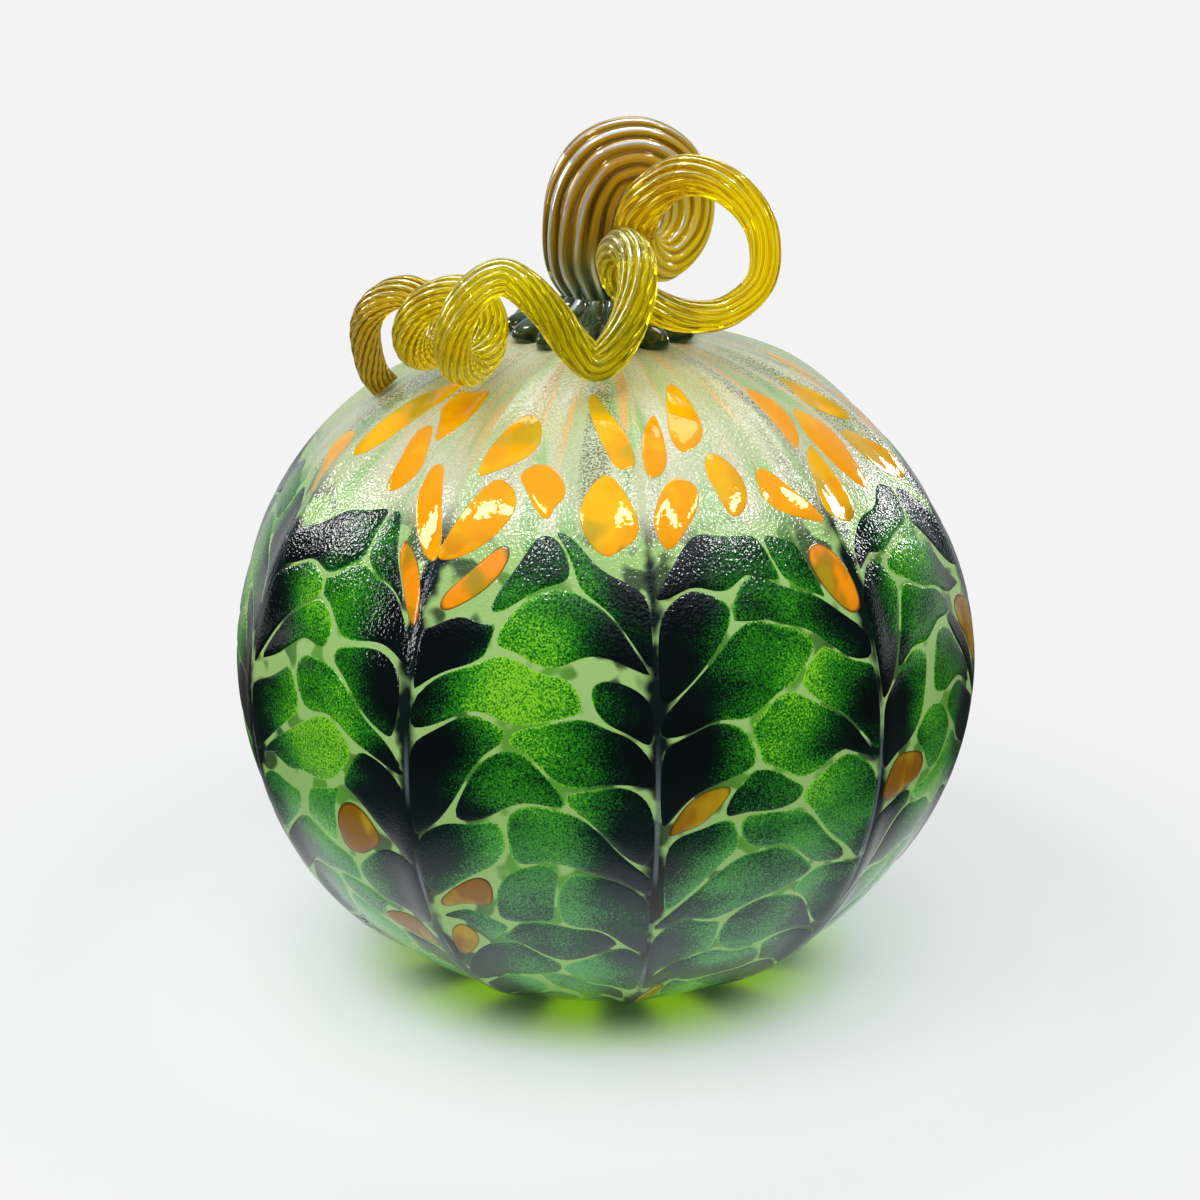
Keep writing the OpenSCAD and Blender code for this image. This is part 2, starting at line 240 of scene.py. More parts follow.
class Nodes:
    """Builds the nodes of a material or of the world.

    A Mix node has sockets of the same names for each kind of data; those for colours go by number.
    """

    mix_inputs: tuple[int, int, int] = (0, 6, 7)
    mix_output: int = 2

    def __init__(self, holder: Any) -> None:
        """Empties the node tree of a material or world.

        Args:
            holder: the material or world.
        """
        holder.use_nodes = True
        self.tree = holder.node_tree
        self.tree.nodes.clear()

    def node(self, kind: str, settings: dict[str, Any], sockets: dict[Any, Any]) -> bpy.types.Node:
        """Adds a node.

        Args:
            kind: the node's type.
            settings: its own settings, set first; "stops" are a ramp's (place, colour) pairs.
            sockets: values, sockets or Numbers for its inputs, by name or number.

        Returns:
            The node.
        """
        made = self.tree.nodes.new(kind)
        for key, value in settings.items():
            if key == "stops":
                ramp = made.color_ramp.elements
                while len(ramp) < len(value):
                    ramp.new(1.0)
                for element, (place, colour) in zip(ramp, value):
                    element.position = place
                    element.color = (*colour, 1.0)
            else:
                setattr(made, key, value)
        for key, value in sockets.items():
            self.plug(made.inputs[key], value)
        return made

    def plug(self, socket: Socket, value: Any) -> None:
        """Links a Number or another socket to an input, or sets a plain value on it.

        Args:
            socket: the input.
            value: what it takes.
        """
        value = value.socket if isinstance(value, Number) else value
        if isinstance(value, Socket):
            self.tree.links.new(value, socket)
        else:
            socket.default_value = value

    def math(self, operation: str, *terms: Any) -> Number:
        """Adds a Math node on Numbers and plain numbers."""
        node = self.node("ShaderNodeMath", {"operation": operation}, dict(enumerate(terms)))
        return Number(self, node.outputs["Value"])

    def attribute(self, name: str) -> Number:
        """A number that the piece's mesh holds at each vertex."""
        node = self.node("ShaderNodeAttribute", {"attribute_name": name}, {})
        return Number(self, node.outputs["Fac"])

    def place(self, stretch: Place = (1, 1, 1)) -> Socket:
        """Object coordinates, stretched along each axis.

        Args:
            stretch: factor on each axis.

        Returns:
            The vector.
        """
        where = self.node("ShaderNodeTexCoord", {}, {}).outputs["Object"]
        product = {"operation": "MULTIPLY"}
        return self.node("ShaderNodeVectorMath", product, {0: where, 1: stretch}).outputs["Vector"]

    def noise(
        self, size: float, detail: float = 2.0, rough: float = 0.5, where: Any = None
    ) -> Number:
        """Cloudy noise between 0 and 1.

        Args:
            size: length of its patches, in the units of where.
            detail: octaves of finer noise.
            rough: strength of the finer noise.
            where: vector socket; Object coordinates if left out.

        Returns:
            The noise.
        """
        sockets = {"Scale": 1 / size, "Detail": detail, "Roughness": rough}
        node = self.node("ShaderNodeTexNoise", {}, {"Vector": where or self.place(), **sockets})
        return Number(self, node.outputs["Fac"])

    def vector(self, x: Any, y: Any, z: Any) -> Socket:
        """A vector made of three numbers."""
        return self.node("ShaderNodeCombineXYZ", {}, {"X": x, "Y": y, "Z": z}).outputs["Vector"]

    def ramp(self, at: Number, stops: Sequence[tuple[float, Colour]]) -> Socket:
        """A colour looked up along stops between 0 and 1."""
        return self.node("ShaderNodeValToRGB", {"stops": stops}, {"Fac": at}).outputs["Color"]

    def mix(self, share: Any, first: Any, second: Any) -> Socket:
        """A colour between two.

        Args:
            share: share of the second.
            first: a colour or a socket.
            second: a colour or a socket.

        Returns:
            The mixed colour.
        """
        full = [(*c, 1.0) if isinstance(c, tuple) else c for c in (first, second)]
        sockets = dict(zip(self.mix_inputs, (share, *full)))
        return self.node("ShaderNodeMix", {"data_type": "RGBA"}, sockets).outputs[self.mix_output]

    def split(self, where: Socket, axis: str) -> Number:
        """One part of a vector, by the name of its axis."""
        return Number(self, self.node("ShaderNodeSeparateXYZ", {}, {"Vector": where}).outputs[axis])

    def ray(self, kind: str) -> Number:
        """1 for light paths of a kind, such as Is Camera Ray, and 0 for the rest."""
        return Number(self, self.node("ShaderNodeLightPath", {}, {}).outputs[kind])


class Shading(Nodes):
    """Builds one material's nodes round a Principled shader."""

    def __init__(self, name: str) -> None:
        """Starts a material with its shader and output.

        Args:
            name: name of the material.
        """
        self.material = bpy.data.materials.new(name)
        super().__init__(self.material)
        self.surface = self.node("ShaderNodeBsdfPrincipled", {}, {})
        shader = self.surface.outputs["BSDF"]
        self.output = self.node("ShaderNodeOutputMaterial", {}, {"Surface": shader})

    def bump(self, height: Number, distance: float) -> None:
        """Raises the surface's shading by height times distance in metres."""
        node = self.node("ShaderNodeBump", {}, {"Height": height, "Distance": distance})
        self.set(Normal=node.outputs["Normal"])

    def set(self, **sockets: Any) -> None:
        """Sets the shader's sockets.

        Args:
            sockets: what each takes, under names with underscores for spaces.
        """
        for key, value in sockets.items():
            full = (*value, 1.0) if isinstance(value, tuple) else value
            self.plug(self.surface.inputs[key.replace("_", " ")], full)

    def glow(self, colour: Colour) -> Socket:
        """A shader that gives off one plain colour."""
        return self.node("ShaderNodeEmission", {}, {"Color": (*colour, 1.0)}).outputs["Emission"]

    def blend(self, share: Number, first: Socket, second: Socket) -> Socket:
        """A shader between two, by the share of the second."""
        sockets = {0: share, 1: first, 2: second}
        return self.node("ShaderNodeMixShader", {}, sockets).outputs["Shader"]


@dataclass(frozen=True)
class Cloud:
    """Patches of noise: their size, and the noise where they begin and where they are full."""

    size: float
    begin: float
    full: float
    detail: float = 2.0
    rough: float = 0.5

    def on(self, nodes: Nodes, where: Any = None) -> Number:
        """How far the patches cover each place, from 0 to 1."""
        noise = nodes.noise(self.size, self.detail, self.rough, where)
        return noise.step(self.begin, self.full)


@dataclass(frozen=True)
class BodyForm:
    """Outer form of the blown body: two half ellipsoids that share the waist, with ribs on them."""

    width: float = 170 * MM
    height: float = 152 * MM
    waist: float = 74 * MM
    ribs: int = 10
    rib_height: float = 1.6 * MM
    rib_half: float = 4.0
    rib_turn: float = 7.6
    ring_radius: float = 30 * MM
    punt_height: float = 7 * MM
    flat_cut: float = 0.5 * MM
    seat: float = 0.3 * MM
    rib_fade: Table = ((-90, 0.3), (-66, 0.4), (-45, 1), (56, 1), (73, 0), (90, 0))

    @property
    def panel_radius(self) -> float:
        """Radius of the panels at the waist."""
        return self.width / 2 - self.rib_height

    @property
    def crown_half(self) -> float:
        """Height of the upper half ellipsoid."""
        return self.height - self.waist - self.rib_height

    @property
    def base_half(self) -> float:
        """Height of the lower half ellipsoid, which passes the base ring just under the table."""
        share = self.ring_radius / self.panel_radius
        return (self.waist + self.flat_cut) / math.sqrt(1 - share**2)

    @property
    def ring_latitude(self) -> float:
        """Latitude where the outer face meets the base ring."""
        return -math.degrees(math.acos(self.ring_radius / self.panel_radius))

    @property
    def rib_step(self) -> float:
        """Angle from one rib to the next."""
        return 360 / self.ribs

    @property
    def rib_start(self) -> float:
        """Azimuth of the first rib."""
        return self.rib_turn - 90

    def from_rib(self, theta: Array) -> Array:
        """Turn from the nearest rib, as a share of the angle between ribs."""
        turn = (theta - self.rib_start) / self.rib_step
        return turn - np.round(turn)

    def rib_near(self, theta: Array) -> Array:
        """Nearness to a rib: 1 on the ribs, 0 midway between them."""
        return 1 - 2 * np.abs(self.from_rib(theta))

    def point(self, theta: Array, lam: Array, rise: Any = 0.0) -> Array:
        """Point of the outer face: an ellipsoid's point, raised by the rib's bell curve and rise.

        Args:
            theta: azimuths.
            lam: latitudes.
            rise: heights over the face.

        Returns:
            Array of places, with a last axis of 3.
        """
        off = self.from_rib(theta) * self.rib_step
        bell = np.exp(-((off / self.rib_half) ** 2))
        rise = rise + self.rib_height * lookup(lam, self.rib_fade) * bell
        radius = (self.panel_radius + rise) * np.cos(np.radians(lam))
        half = np.where(lam > 0, self.crown_half, self.base_half) + rise
        t = np.radians(theta)
        height = self.waist + half * np.sin(np.radians(lam))
        return np.stack([radius * np.cos(t), radius * np.sin(t), height], -1)

    def shoulder(self, radius: Array) -> Array:
        """Height of the shoulder over its ribs, at a distance from the axis."""
        share = np.minimum(radius / (self.width / 2), 1)
        return self.waist + (self.height - self.waist) * np.sqrt(1 - share**2)

    def crown(self, radius: Array) -> Array:
        """Height of the smooth crown inside the ribs, at a distance from the axis."""
        return self.waist + self.crown_half * np.sqrt(1 - (radius / self.panel_radius) ** 2)


class Milk:
    """Finish of the body: milky pale glass, streaked down the crown, with painted glow through its
    seams mid-panel and dark along the ribs.
    """

    milk: Colour = (0.52, 0.60, 0.33)
    white: Colour = (0.66, 0.68, 0.46)
    peach: Colour = (0.86, 0.50, 0.18)
    leaf: Colour = (0.32, 0.58, 0.20)
    pepper: Colour = (0.06, 0.09, 0.045)
    thread: Colour = (0.28, 0.48, 0.14)
    sage: Colour = (0.34, 0.54, 0.17)
    glow: Colour = (0.07, 0.30, 0.012)
    dark: Colour = (0.006, 0.05, 0.008)
    deep: Colour = (0.003, 0.010, 0.009)
    crest_highlight: Colour = (0.20, 0.26, 0.29)
    wide_draw: float = 0.30
    narrow_draw: float = 0.16
    leaf_draw: float = 0.50
    white_streaks: Cloud = Cloud(0.16, 0.40, 0.60)
    leaf_streaks: Cloud = Cloud(0.14, 0.52, 0.66)
    leaf_zone: Span = (0.88, 0.60)
    leaf_share: float = 0.85
    peach_streaks: Cloud = Cloud(0.070, 0.51, 0.68, detail=3, rough=0.6)
    peach_zone: Span = (0.46, 0.66)
    peach_share: float = 0.90
    dust_streaks: Cloud = Cloud(0.15, 0.48, 0.64)
    dust_zone: Span = (0.90, 0.66)
    grain_size: float = 0.40 * MM
    pepper_span: Span = (0.58, 0.40)
    pepper_least: float = 0.24
    pepper_share: float = 0.85
    sage_zone: Span = (-0.45, 0.35)
    fleck_span: Span = (0.6, 0.4)
    fleck_share: float = 0.25
    glow_reach: Span = (1.0, 0.1)
    glow_middle: float = 0.45
    glow_patches: Cloud = Cloud(7 * MM, 0.51, 0.60, detail=1)
    glow_share: float = 0.85
    band_size: float = 9 * MM
    band_sway: float = 0.50
    band_edge: Span = (0.86, 0.96)
    crest_highlight_edge: Span = (0.972, 0.992)
    crest_highlight_top: Span = (0.12, -0.08)
    crest_highlight_foot: Span = (-0.60, -0.40)
    crest_highlight_patches: Cloud = Cloud(18 * MM, 0.42, 0.58, detail=1)
    crest_highlight_share: float = 0.55
    seam_zone: Span = (0.47, 0.38)
    roughness: float = 0.13
    pebble_size: float = 0.72 * MM
    pebble_height: float = 0.17 * MM
    pebble_zone: Span = (0.05, 0.4)

    def material(self) -> Material:
        """Streaks follow the meridians: noise on the azimuth's way, drawn along the latitude.

        Returns:
            The material.
        """
        s = Shading("milky_glass")
        lat, near = s.attribute("latitude"), s.attribute("rib")
        east, north = s.attribute("east"), s.attribute("north")
        wide = s.vector(east, north, lat * self.wide_draw)
        narrow = s.vector(east, north, lat * self.narrow_draw)
        other = s.vector(north, east, lat * self.leaf_draw)
        grain = s.noise(self.grain_size, detail=1)
        colour = s.mix(self.white_streaks.on(s, wide), self.milk, self.white)
        leafy = self.leaf_streaks.on(s, other) * lat.step(*self.leaf_zone)
        colour = s.mix(leafy * self.leaf_share, colour, self.leaf)
        peachy = self.peach_streaks.on(s, narrow) * lat.step(*self.peach_zone)
        colour = s.mix(peachy * self.peach_share, colour, self.peach)
        dusty = self.dust_streaks.on(s, wide) * lat.step(*self.dust_zone)
        peppery = grain.step(*self.pepper_span) * dusty.raised(self.pepper_least)
        colour = s.mix(peppery * self.pepper_share, colour, self.pepper)
        seam = s.mix(lat.step(*self.sage_zone), self.thread, self.sage)
        seam = s.mix(grain.step(*self.fleck_span) * self.fleck_share, seam, self.leaf)
        # Painted light through the thin glass: in patches, the seams glow green at mid-panel and
        # darken towards the ribs.
        stops = [(0.0, self.deep), (self.glow_middle, self.dark), (1.0, self.glow)]
        glow = s.ramp(near.step(*self.glow_reach), stops)
        seam = s.mix(self.glow_patches.on(s) * self.glow_share, seam, glow)
        # Near-black band along the ribs: partly the thick glass's own colour, partly painted shade.
        band = near + s.noise(self.band_size).centred() * self.band_sway
        seam = s.mix(band.step(*self.band_edge), seam, self.deep)
        # Painted highlight: in patches, a pale grey line on the rib crests of the lower body.
        crest_highlight = near.step(*self.crest_highlight_edge) * lat.step(*self.crest_highlight_top) * lat.step(*self.crest_highlight_foot)
        seam = s.mix(crest_highlight * self.crest_highlight_patches.on(s) * self.crest_highlight_share, seam, self.crest_highlight)
        colour = s.mix(lat.step(*self.seam_zone), colour, seam)
        s.set(Base_Color=colour, Roughness=self.roughness, IOR=GLASS_IOR)
        pebble = s.noise(self.pebble_size, detail=1) * lat.step(*self.pebble_zone)
        s.bump(pebble, self.pebble_height)
        return s.material


@dataclass
class BlownBody:
    """The body: the ribbed outer face from the base ring to the crown, and the pushed-in base."""

    form: BodyForm
    columns_per_panel: int = 36
    crowding: float = 0.6
    rows: int = 150
    top: float = 89.2
    punt_rows: int = 14

    def piece(self) -> Piece:
        """Grid over azimuth and latitude, closer at the ribs; the base rises on a cosine curve.

        Returns:
            The dressed piece.
        """
        form = self.form
        s = 2 * np.arange(self.columns_per_panel) / self.columns_per_panel - 1
        u = (1 - self.crowding) * s + self.crowding * np.sin(np.pi * s / 2)
        panels = np.arange(form.ribs)[:, None]
        theta = (form.rib_start + (panels + (u + 1) / 2) * form.rib_step).ravel()
        r = form.ring_radius * (np.arange(self.punt_rows) + 1)[:, None] / (self.punt_rows + 1)
        dome = (1 + np.cos(np.pi * r / form.ring_radius)) / 2
        rise = (form.punt_height + form.flat_cut) * dome - form.flat_cut
        t = np.radians(theta)[None]
        punt = np.stack(np.broadcast_arrays(r * np.cos(t), r * np.sin(t), rise), -1)
        lam = np.linspace(form.ring_latitude, self.top, self.rows)[:, None]
        outer = form.point(*np.broadcast_arrays(theta[None], lam))
        rings = np.concatenate([punt, outer])
        rings[..., 2] = np.maximum(rings[..., 2], 0)
        poles = np.array([[0, 0, form.punt_height], [0, 0, form.waist + form.crown_half]])
        points = np.vstack([rings.reshape(-1, 3), poles])
        latitude = np.concatenate([np.full(self.punt_rows, form.ring_latitude), lam[:, 0]])
        grid = np.broadcast_to(latitude[:, None], rings.shape[:2]).ravel() / RIGHT_ANGLE
        turn = np.broadcast_to(theta[None], rings.shape[:2]).ravel()
        values = {
            "latitude": np.append(grid, [form.ring_latitude / RIGHT_ANGLE, 1]),
            "rib": np.append(form.rib_near(turn), [0, 0]),
            "east": np.append(np.cos(np.radians(turn)), [0, 0]),
            "north": np.append(np.sin(np.radians(turn)), [0, 0]),
        }
        made = make_piece("blown_body", points, ring_faces(len(rings), len(theta)), values)
        return settle(made, Milk().material(), "body_glass", "body")


class Flake(Enum):
    """Kinds of coloured glass that are fused to the body."""

    GREEN = "green"
    AMBER = "amber"
    ORANGE = "orange"


class Bottle:
    """Finish of the green shards: dark at the ribs, painted light through at mid-panel, a painted
    floor reflection low down, and a fine grain.
    """

    black: Colour = (0.0015, 0.0045, 0.0045)
    dark: Colour = (0.002, 0.024, 0.006)
    green: Colour = (0.010, 0.135, 0.007)
    bright: Colour = (0.040, 0.30, 0.010)
    lime: Colour = (0.23, 0.60, 0.025)
    slate: Colour = (0.030, 0.058, 0.066)
    moss: Colour = (0.012, 0.100, 0.048)
    sage: Colour = (0.15, 0.50, 0.17)
    light_stops: Stops = (
        (0.0, black), (0.14, black), (0.30, dark), (0.48, green), (0.72, bright), (0.98, lime),
    )
    reflection_stops: Stops = ((0.0, slate), (0.18, slate), (0.42, moss), (1.0, sage))
    cloud_size: float = 17 * MM
    cloud_stretch: Place = (0.7, 0.7, 1.2)
    cloud_share: float = 1.35
    panel_reach: Span = (0.96, 0.16)
    panel_share: float = 0.72
    tint_share: float = 0.50
    top_zone: Span = (0.56, 0.28)
    base_zone: Span = (-0.66, -0.20)
    base_least: float = 0.78
    rim_edge: Span = (0.92, 1.0)
    rim_lit: Span = (0.1, 0.5)
    rim_share: float = 0.40
    reflection_zone: Span = (0.04, -0.36)
    reflection_share: float = 0.58
    grain_size: float = 0.42 * MM
    grain_rough: float = 0.6
    grain_least: float = 0.30
    grain_share: float = 1.5
    grain_loss: float = 0.25
    light_share: float = 0.80
    reflection_grain: float = 1.1
    reflection_span: Span = (-0.10, 0.80)
    roughness: float = 0.06
    pebble_size: float = 0.72 * MM
    pebble_height: float = 0.18 * MM
    pebble_zone: Span = (0.10, 0.32)
    pebble_least: float = 0.30

    def material(self) -> Material:
        """Painted light through the glass where it is thin: a bell across the panel, uneven by
        shard.

        Returns:
            The material.
        """
        s = Shading("bottle_glass")
        lat, near, tint = s.attribute("latitude"), s.attribute("rib"), s.attribute("tint")
        cloud = s.noise(self.cloud_size, where=s.place(self.cloud_stretch))
        uneven = cloud.centred() * self.cloud_share + tint.centred() * self.tint_share
        # Painted light through the glass: brightest mid-panel, black at the ribs, dimmer high up
        # and low down.
        through = near.step(*self.panel_reach) * self.panel_share + uneven
        base = lat.step(*self.base_zone).raised(self.base_least)
        through = through * lat.step(*self.top_zone) * base
        # Painted light: the thin margins of a shard let more light through.
        rim = s.attribute("rim").step(*self.rim_edge) * through.step(*self.rim_lit)
        through = through + rim * self.rim_share
        # Painted reflection of the pale floor: the low shards are drawn towards slate and sage,
        # with less grain.
        low = lat.step(*self.reflection_zone)
        grain = s.noise(self.grain_size, detail=1, rough=self.grain_rough).centred()
        grainy = grain * (self.grain_least + through * self.grain_share)
        lit = through * self.light_share + grainy * (1 - self.grain_loss * low)
        painted_reflection = s.ramp((through + grain * self.reflection_grain).step(*self.reflection_span), self.reflection_stops)
        colour = s.mix(low * self.reflection_share, s.ramp(lit, self.light_stops), painted_reflection)
        s.set(Base_Color=colour, Roughness=self.roughness, IOR=GLASS_IOR)
        high = lat.step(*self.pebble_zone).raised(self.pebble_least)
        s.bump(s.noise(self.pebble_size, detail=1) * high, self.pebble_height)
        return s.material


class Tea:
    """Finish of the amber chips: brown glass, gold at heart, orange up high, dark at its rim."""

    brown: Colour = (0.24, 0.105, 0.004)
    amber: Colour = (0.42, 0.27, 0.008)
    orange: Colour = (0.90, 0.30, 0.004)
    edge: Colour = (0.025, 0.010, 0.003)
    cloud_size: float = 7 * MM
    cloud_stretch: Place = (1, 1, 0.5)
    tint_share: float = 0.3
    amber_span: Span = (0.38, 0.62)
    orange_span: Span = (0.62, 0.45)
    orange_zone: Span = (0.12, 0.30)
    rim_edge: Span = (0.86, 0.99)
    rim_share: float = 0.85
    roughness: float = 0.07
    wave_size: float = 2.0 * MM
    wave_height: float = 0.08 * MM

    def material(self) -> Material:
        """Slow clouds of brown and gold; the rim is darkest.

        Returns:
            The material.
        """
        s = Shading("tea_glass")
        lat, tint = s.attribute("latitude"), s.attribute("tint")
        cloud = s.noise(self.cloud_size, where=s.place(self.cloud_stretch))
        golden = (cloud + tint.centred() * self.tint_share).step(*self.amber_span)
        colour = s.mix(golden, self.brown, self.amber)
        fiery = lat.step(*self.orange_zone) * cloud.step(*self.orange_span)
        colour = s.mix(fiery, colour, self.orange)
        rim = s.attribute("rim").step(*self.rim_edge)
        colour = s.mix(rim * self.rim_share, colour, self.edge)
        s.set(Base_Color=colour, Roughness=self.roughness, IOR=GLASS_IOR)
        s.bump(s.noise(self.wave_size), self.wave_height)
        return s.material


class Marigold:
    """Finish of the orange chips: opaque glossy orange, yellower on the crown, browner below."""

    orange: Colour = (0.92, 0.35, 0.003)
    yellow: Colour = (0.90, 0.47, 0.004)
    ochre: Colour = (0.52, 0.36, 0.020)
    brown: Colour = (0.42, 0.13, 0.004)
    gloss: Colour = (1.0, 0.90, 0.35)
    cloud_size: float = 8 * MM
    tint_share: float = 0.35
    crown_middle: float = 0.55
    crown_share: float = 0.5
    yellow_span: Span = (0.40, 0.66)
    ochre_patches: Cloud = Cloud(11 * MM, 0.44, 0.60, detail=1)
    ochre_chips: Span = (0.40, 0.72)
    ochre_share: float = 0.85
    burn_patches: Cloud = Cloud(5 * MM, 0.48, 0.62)
    burn_stretch: Place = (1, 1, 0.5)
    burn_zone: Span = (0.45, 0.36)
    burn_least: float = 0.3
    burn_share: float = 0.6
    rim_edge: Span = (0.93, 1.0)
    rim_share: float = 0.35
    roughness: float = 0.06
    wave_size: float = 1.4 * MM
    wave_height: float = 0.045 * MM

    def material(self) -> Material:
        """Slow clouds of orange and yellow; some chips are half ochre, and the lowest end brown.

        Returns:
            The material.
        """
        s = Shading("marigold_glass")
        lat, tint = s.attribute("latitude"), s.attribute("tint")
        cloud = s.noise(self.cloud_size) + tint.centred() * self.tint_share
        sunny = (cloud + (lat - self.crown_middle) * self.crown_share).step(*self.yellow_span)
        colour = s.mix(sunny, self.orange, self.yellow)
        clear = self.ochre_patches.on(s) * tint.step(*self.ochre_chips)
        colour = s.mix(clear * self.ochre_share, colour, self.ochre)
        burnt = self.burn_patches.on(s, s.place(self.burn_stretch)) * lat.step(*self.burn_zone)
        burnt = burnt * (self.burn_least + self.burn_share * tint)
        colour = s.mix(burnt, colour, self.brown)
        rim = s.attribute("rim").step(*self.rim_edge)
        colour = s.mix(rim * self.rim_share, colour, self.brown)
        s.set(
            Base_Color=colour, Roughness=self.roughness, IOR=GLASS_IOR, Specular_Tint=self.gloss
        )
        s.bump(s.noise(self.wave_size, detail=1), self.wave_height)
        return s.material


@dataclass(frozen=True)
class CellPlan:
    """A panel unrolled to a flat, drawn in across by a stretch, so that its cells lie long."""

    form: BodyForm
    stretch: float
    seam: float
    around: int
    later_cut: float = 0.25

    @property
    def half(self) -> float:
        """Half the width of a panel at the waist."""
        return self.form.panel_radius * math.radians(self.form.rib_step) / 2

    @property
    def degree(self) -> float:
        """Length of a degree of latitude."""
        return math.radians(self.form.height / 2)

    def flat(self, u: Any, lam: Any) -> Array:
        """Places on the flat, of places across the panel from -1 to 1 and latitudes."""
        across = np.multiply(u, self.half / self.stretch)
        return np.stack([across, np.multiply(lam, self.degree)], -1)

    def read(self, flat: Array) -> tuple[Array, Array]:
        """Places across the panel and latitudes, of places on the flat."""
        return flat[..., 0] * self.stretch / self.half, flat[..., 1] / self.degree

    @staticmethod
    def clipped(outline: Array, normal: Array, limit: float) -> Array:
        """The part of a convex outline where its points times normal are at most limit.

        Args:
            outline: (n, 2) corners in order.
            normal: direction across the cut.
            limit: where the cut lies along it.

        Returns:
            Corners of what is left.
        """
        after = np.roll(outline, -1, 0)
        here, there = outline @ normal - limit, after @ normal - limit
        cross = here * there < 0
        share = np.where(cross, here / np.where(cross, here - there, 1), 0)[:, None]
        both = np.stack([outline, outline + (after - outline) * share], 1)
        keep = np.stack([here <= 0, cross], 1)
        return both[keep]

    def bordered(self, outline: Array, normal: Array, limit: float) -> Array:
        """The same, less half a seam along the new edge."""
        scale = math.hypot(normal[0] / self.stretch, normal[1])
        return self.clipped(outline, normal, limit - self.seam / 2 * scale)

    def cell(self, seeds: Array, k: int, zone: Array) -> Array:
        """The part of a convex zone nearer to one seed than to the others, with a seam round it.

        Args:
            seeds: (n, 2) places on the flat.
            k: number of the one seed.
            zone: corners of the zone.

        Returns:
            Corners of the cell.
        """
        own, left = seeds[k], zone
        for other in np.delete(seeds, k, 0):
            left = self.bordered(left, other - own, (other @ other - own @ own) / 2)
        return left

    def rounded(self, outline: Array, cut: float) -> Array:
        """An outline with its corners cut three times, read at even steps.

        Args:
            outline: (n, 2) corners in order.
            cut: share of an edge that the first cut takes at each end.

        Returns:
            (around, 2) array of points.
        """
        for share in (cut, self.later_cut, self.later_cut):
            after = np.roll(outline, -1, 0)
            step = share * (after - outline)
            outline = np.stack([outline + step, after - step], 1).reshape(-1, 2)
        closed = np.vstack([outline, outline[:1]])
        real = np.hypot(np.diff(closed[:, 0]) * self.stretch, np.diff(closed[:, 1]))
        run = np.concatenate([[0], np.cumsum(real)])
        at = run[-1] * np.arange(self.around) / self.around
        return np.stack([np.interp(at, run, closed[:, 0]), np.interp(at, run, closed[:, 1])], -1)

    @staticmethod
    def melted(outline: Array, reach: int) -> Array:
        """Each point moved to the mean of its neighbours, up to reach points away on both sides."""
        return np.mean([np.roll(outline, shift, 0) for shift in range(-reach, reach + 1)], 0)


class Draw(IntEnum):
    """Keys that tell scattered choices apart; choices on shards and on chips share some."""

    TINT = 1
    TINT_ROW = 3
    SEED_HEIGHT = 4
    AMBER_PICK = 5
    AMBER_TILT = 6
    CHIP_HEIGHT = 7
    CHIP_ASIDE = 8
    SHARD_SHRINK = 8
    CHIP_SIZE = 9
    SHARD_CORNER = 9
    CHIP_TAPER = 10
    SHARD_CUT = 12
    CHIP_KEEP = 13
    WAVE_OF_TWO = 14
    WAVE_OF_THREE = 15


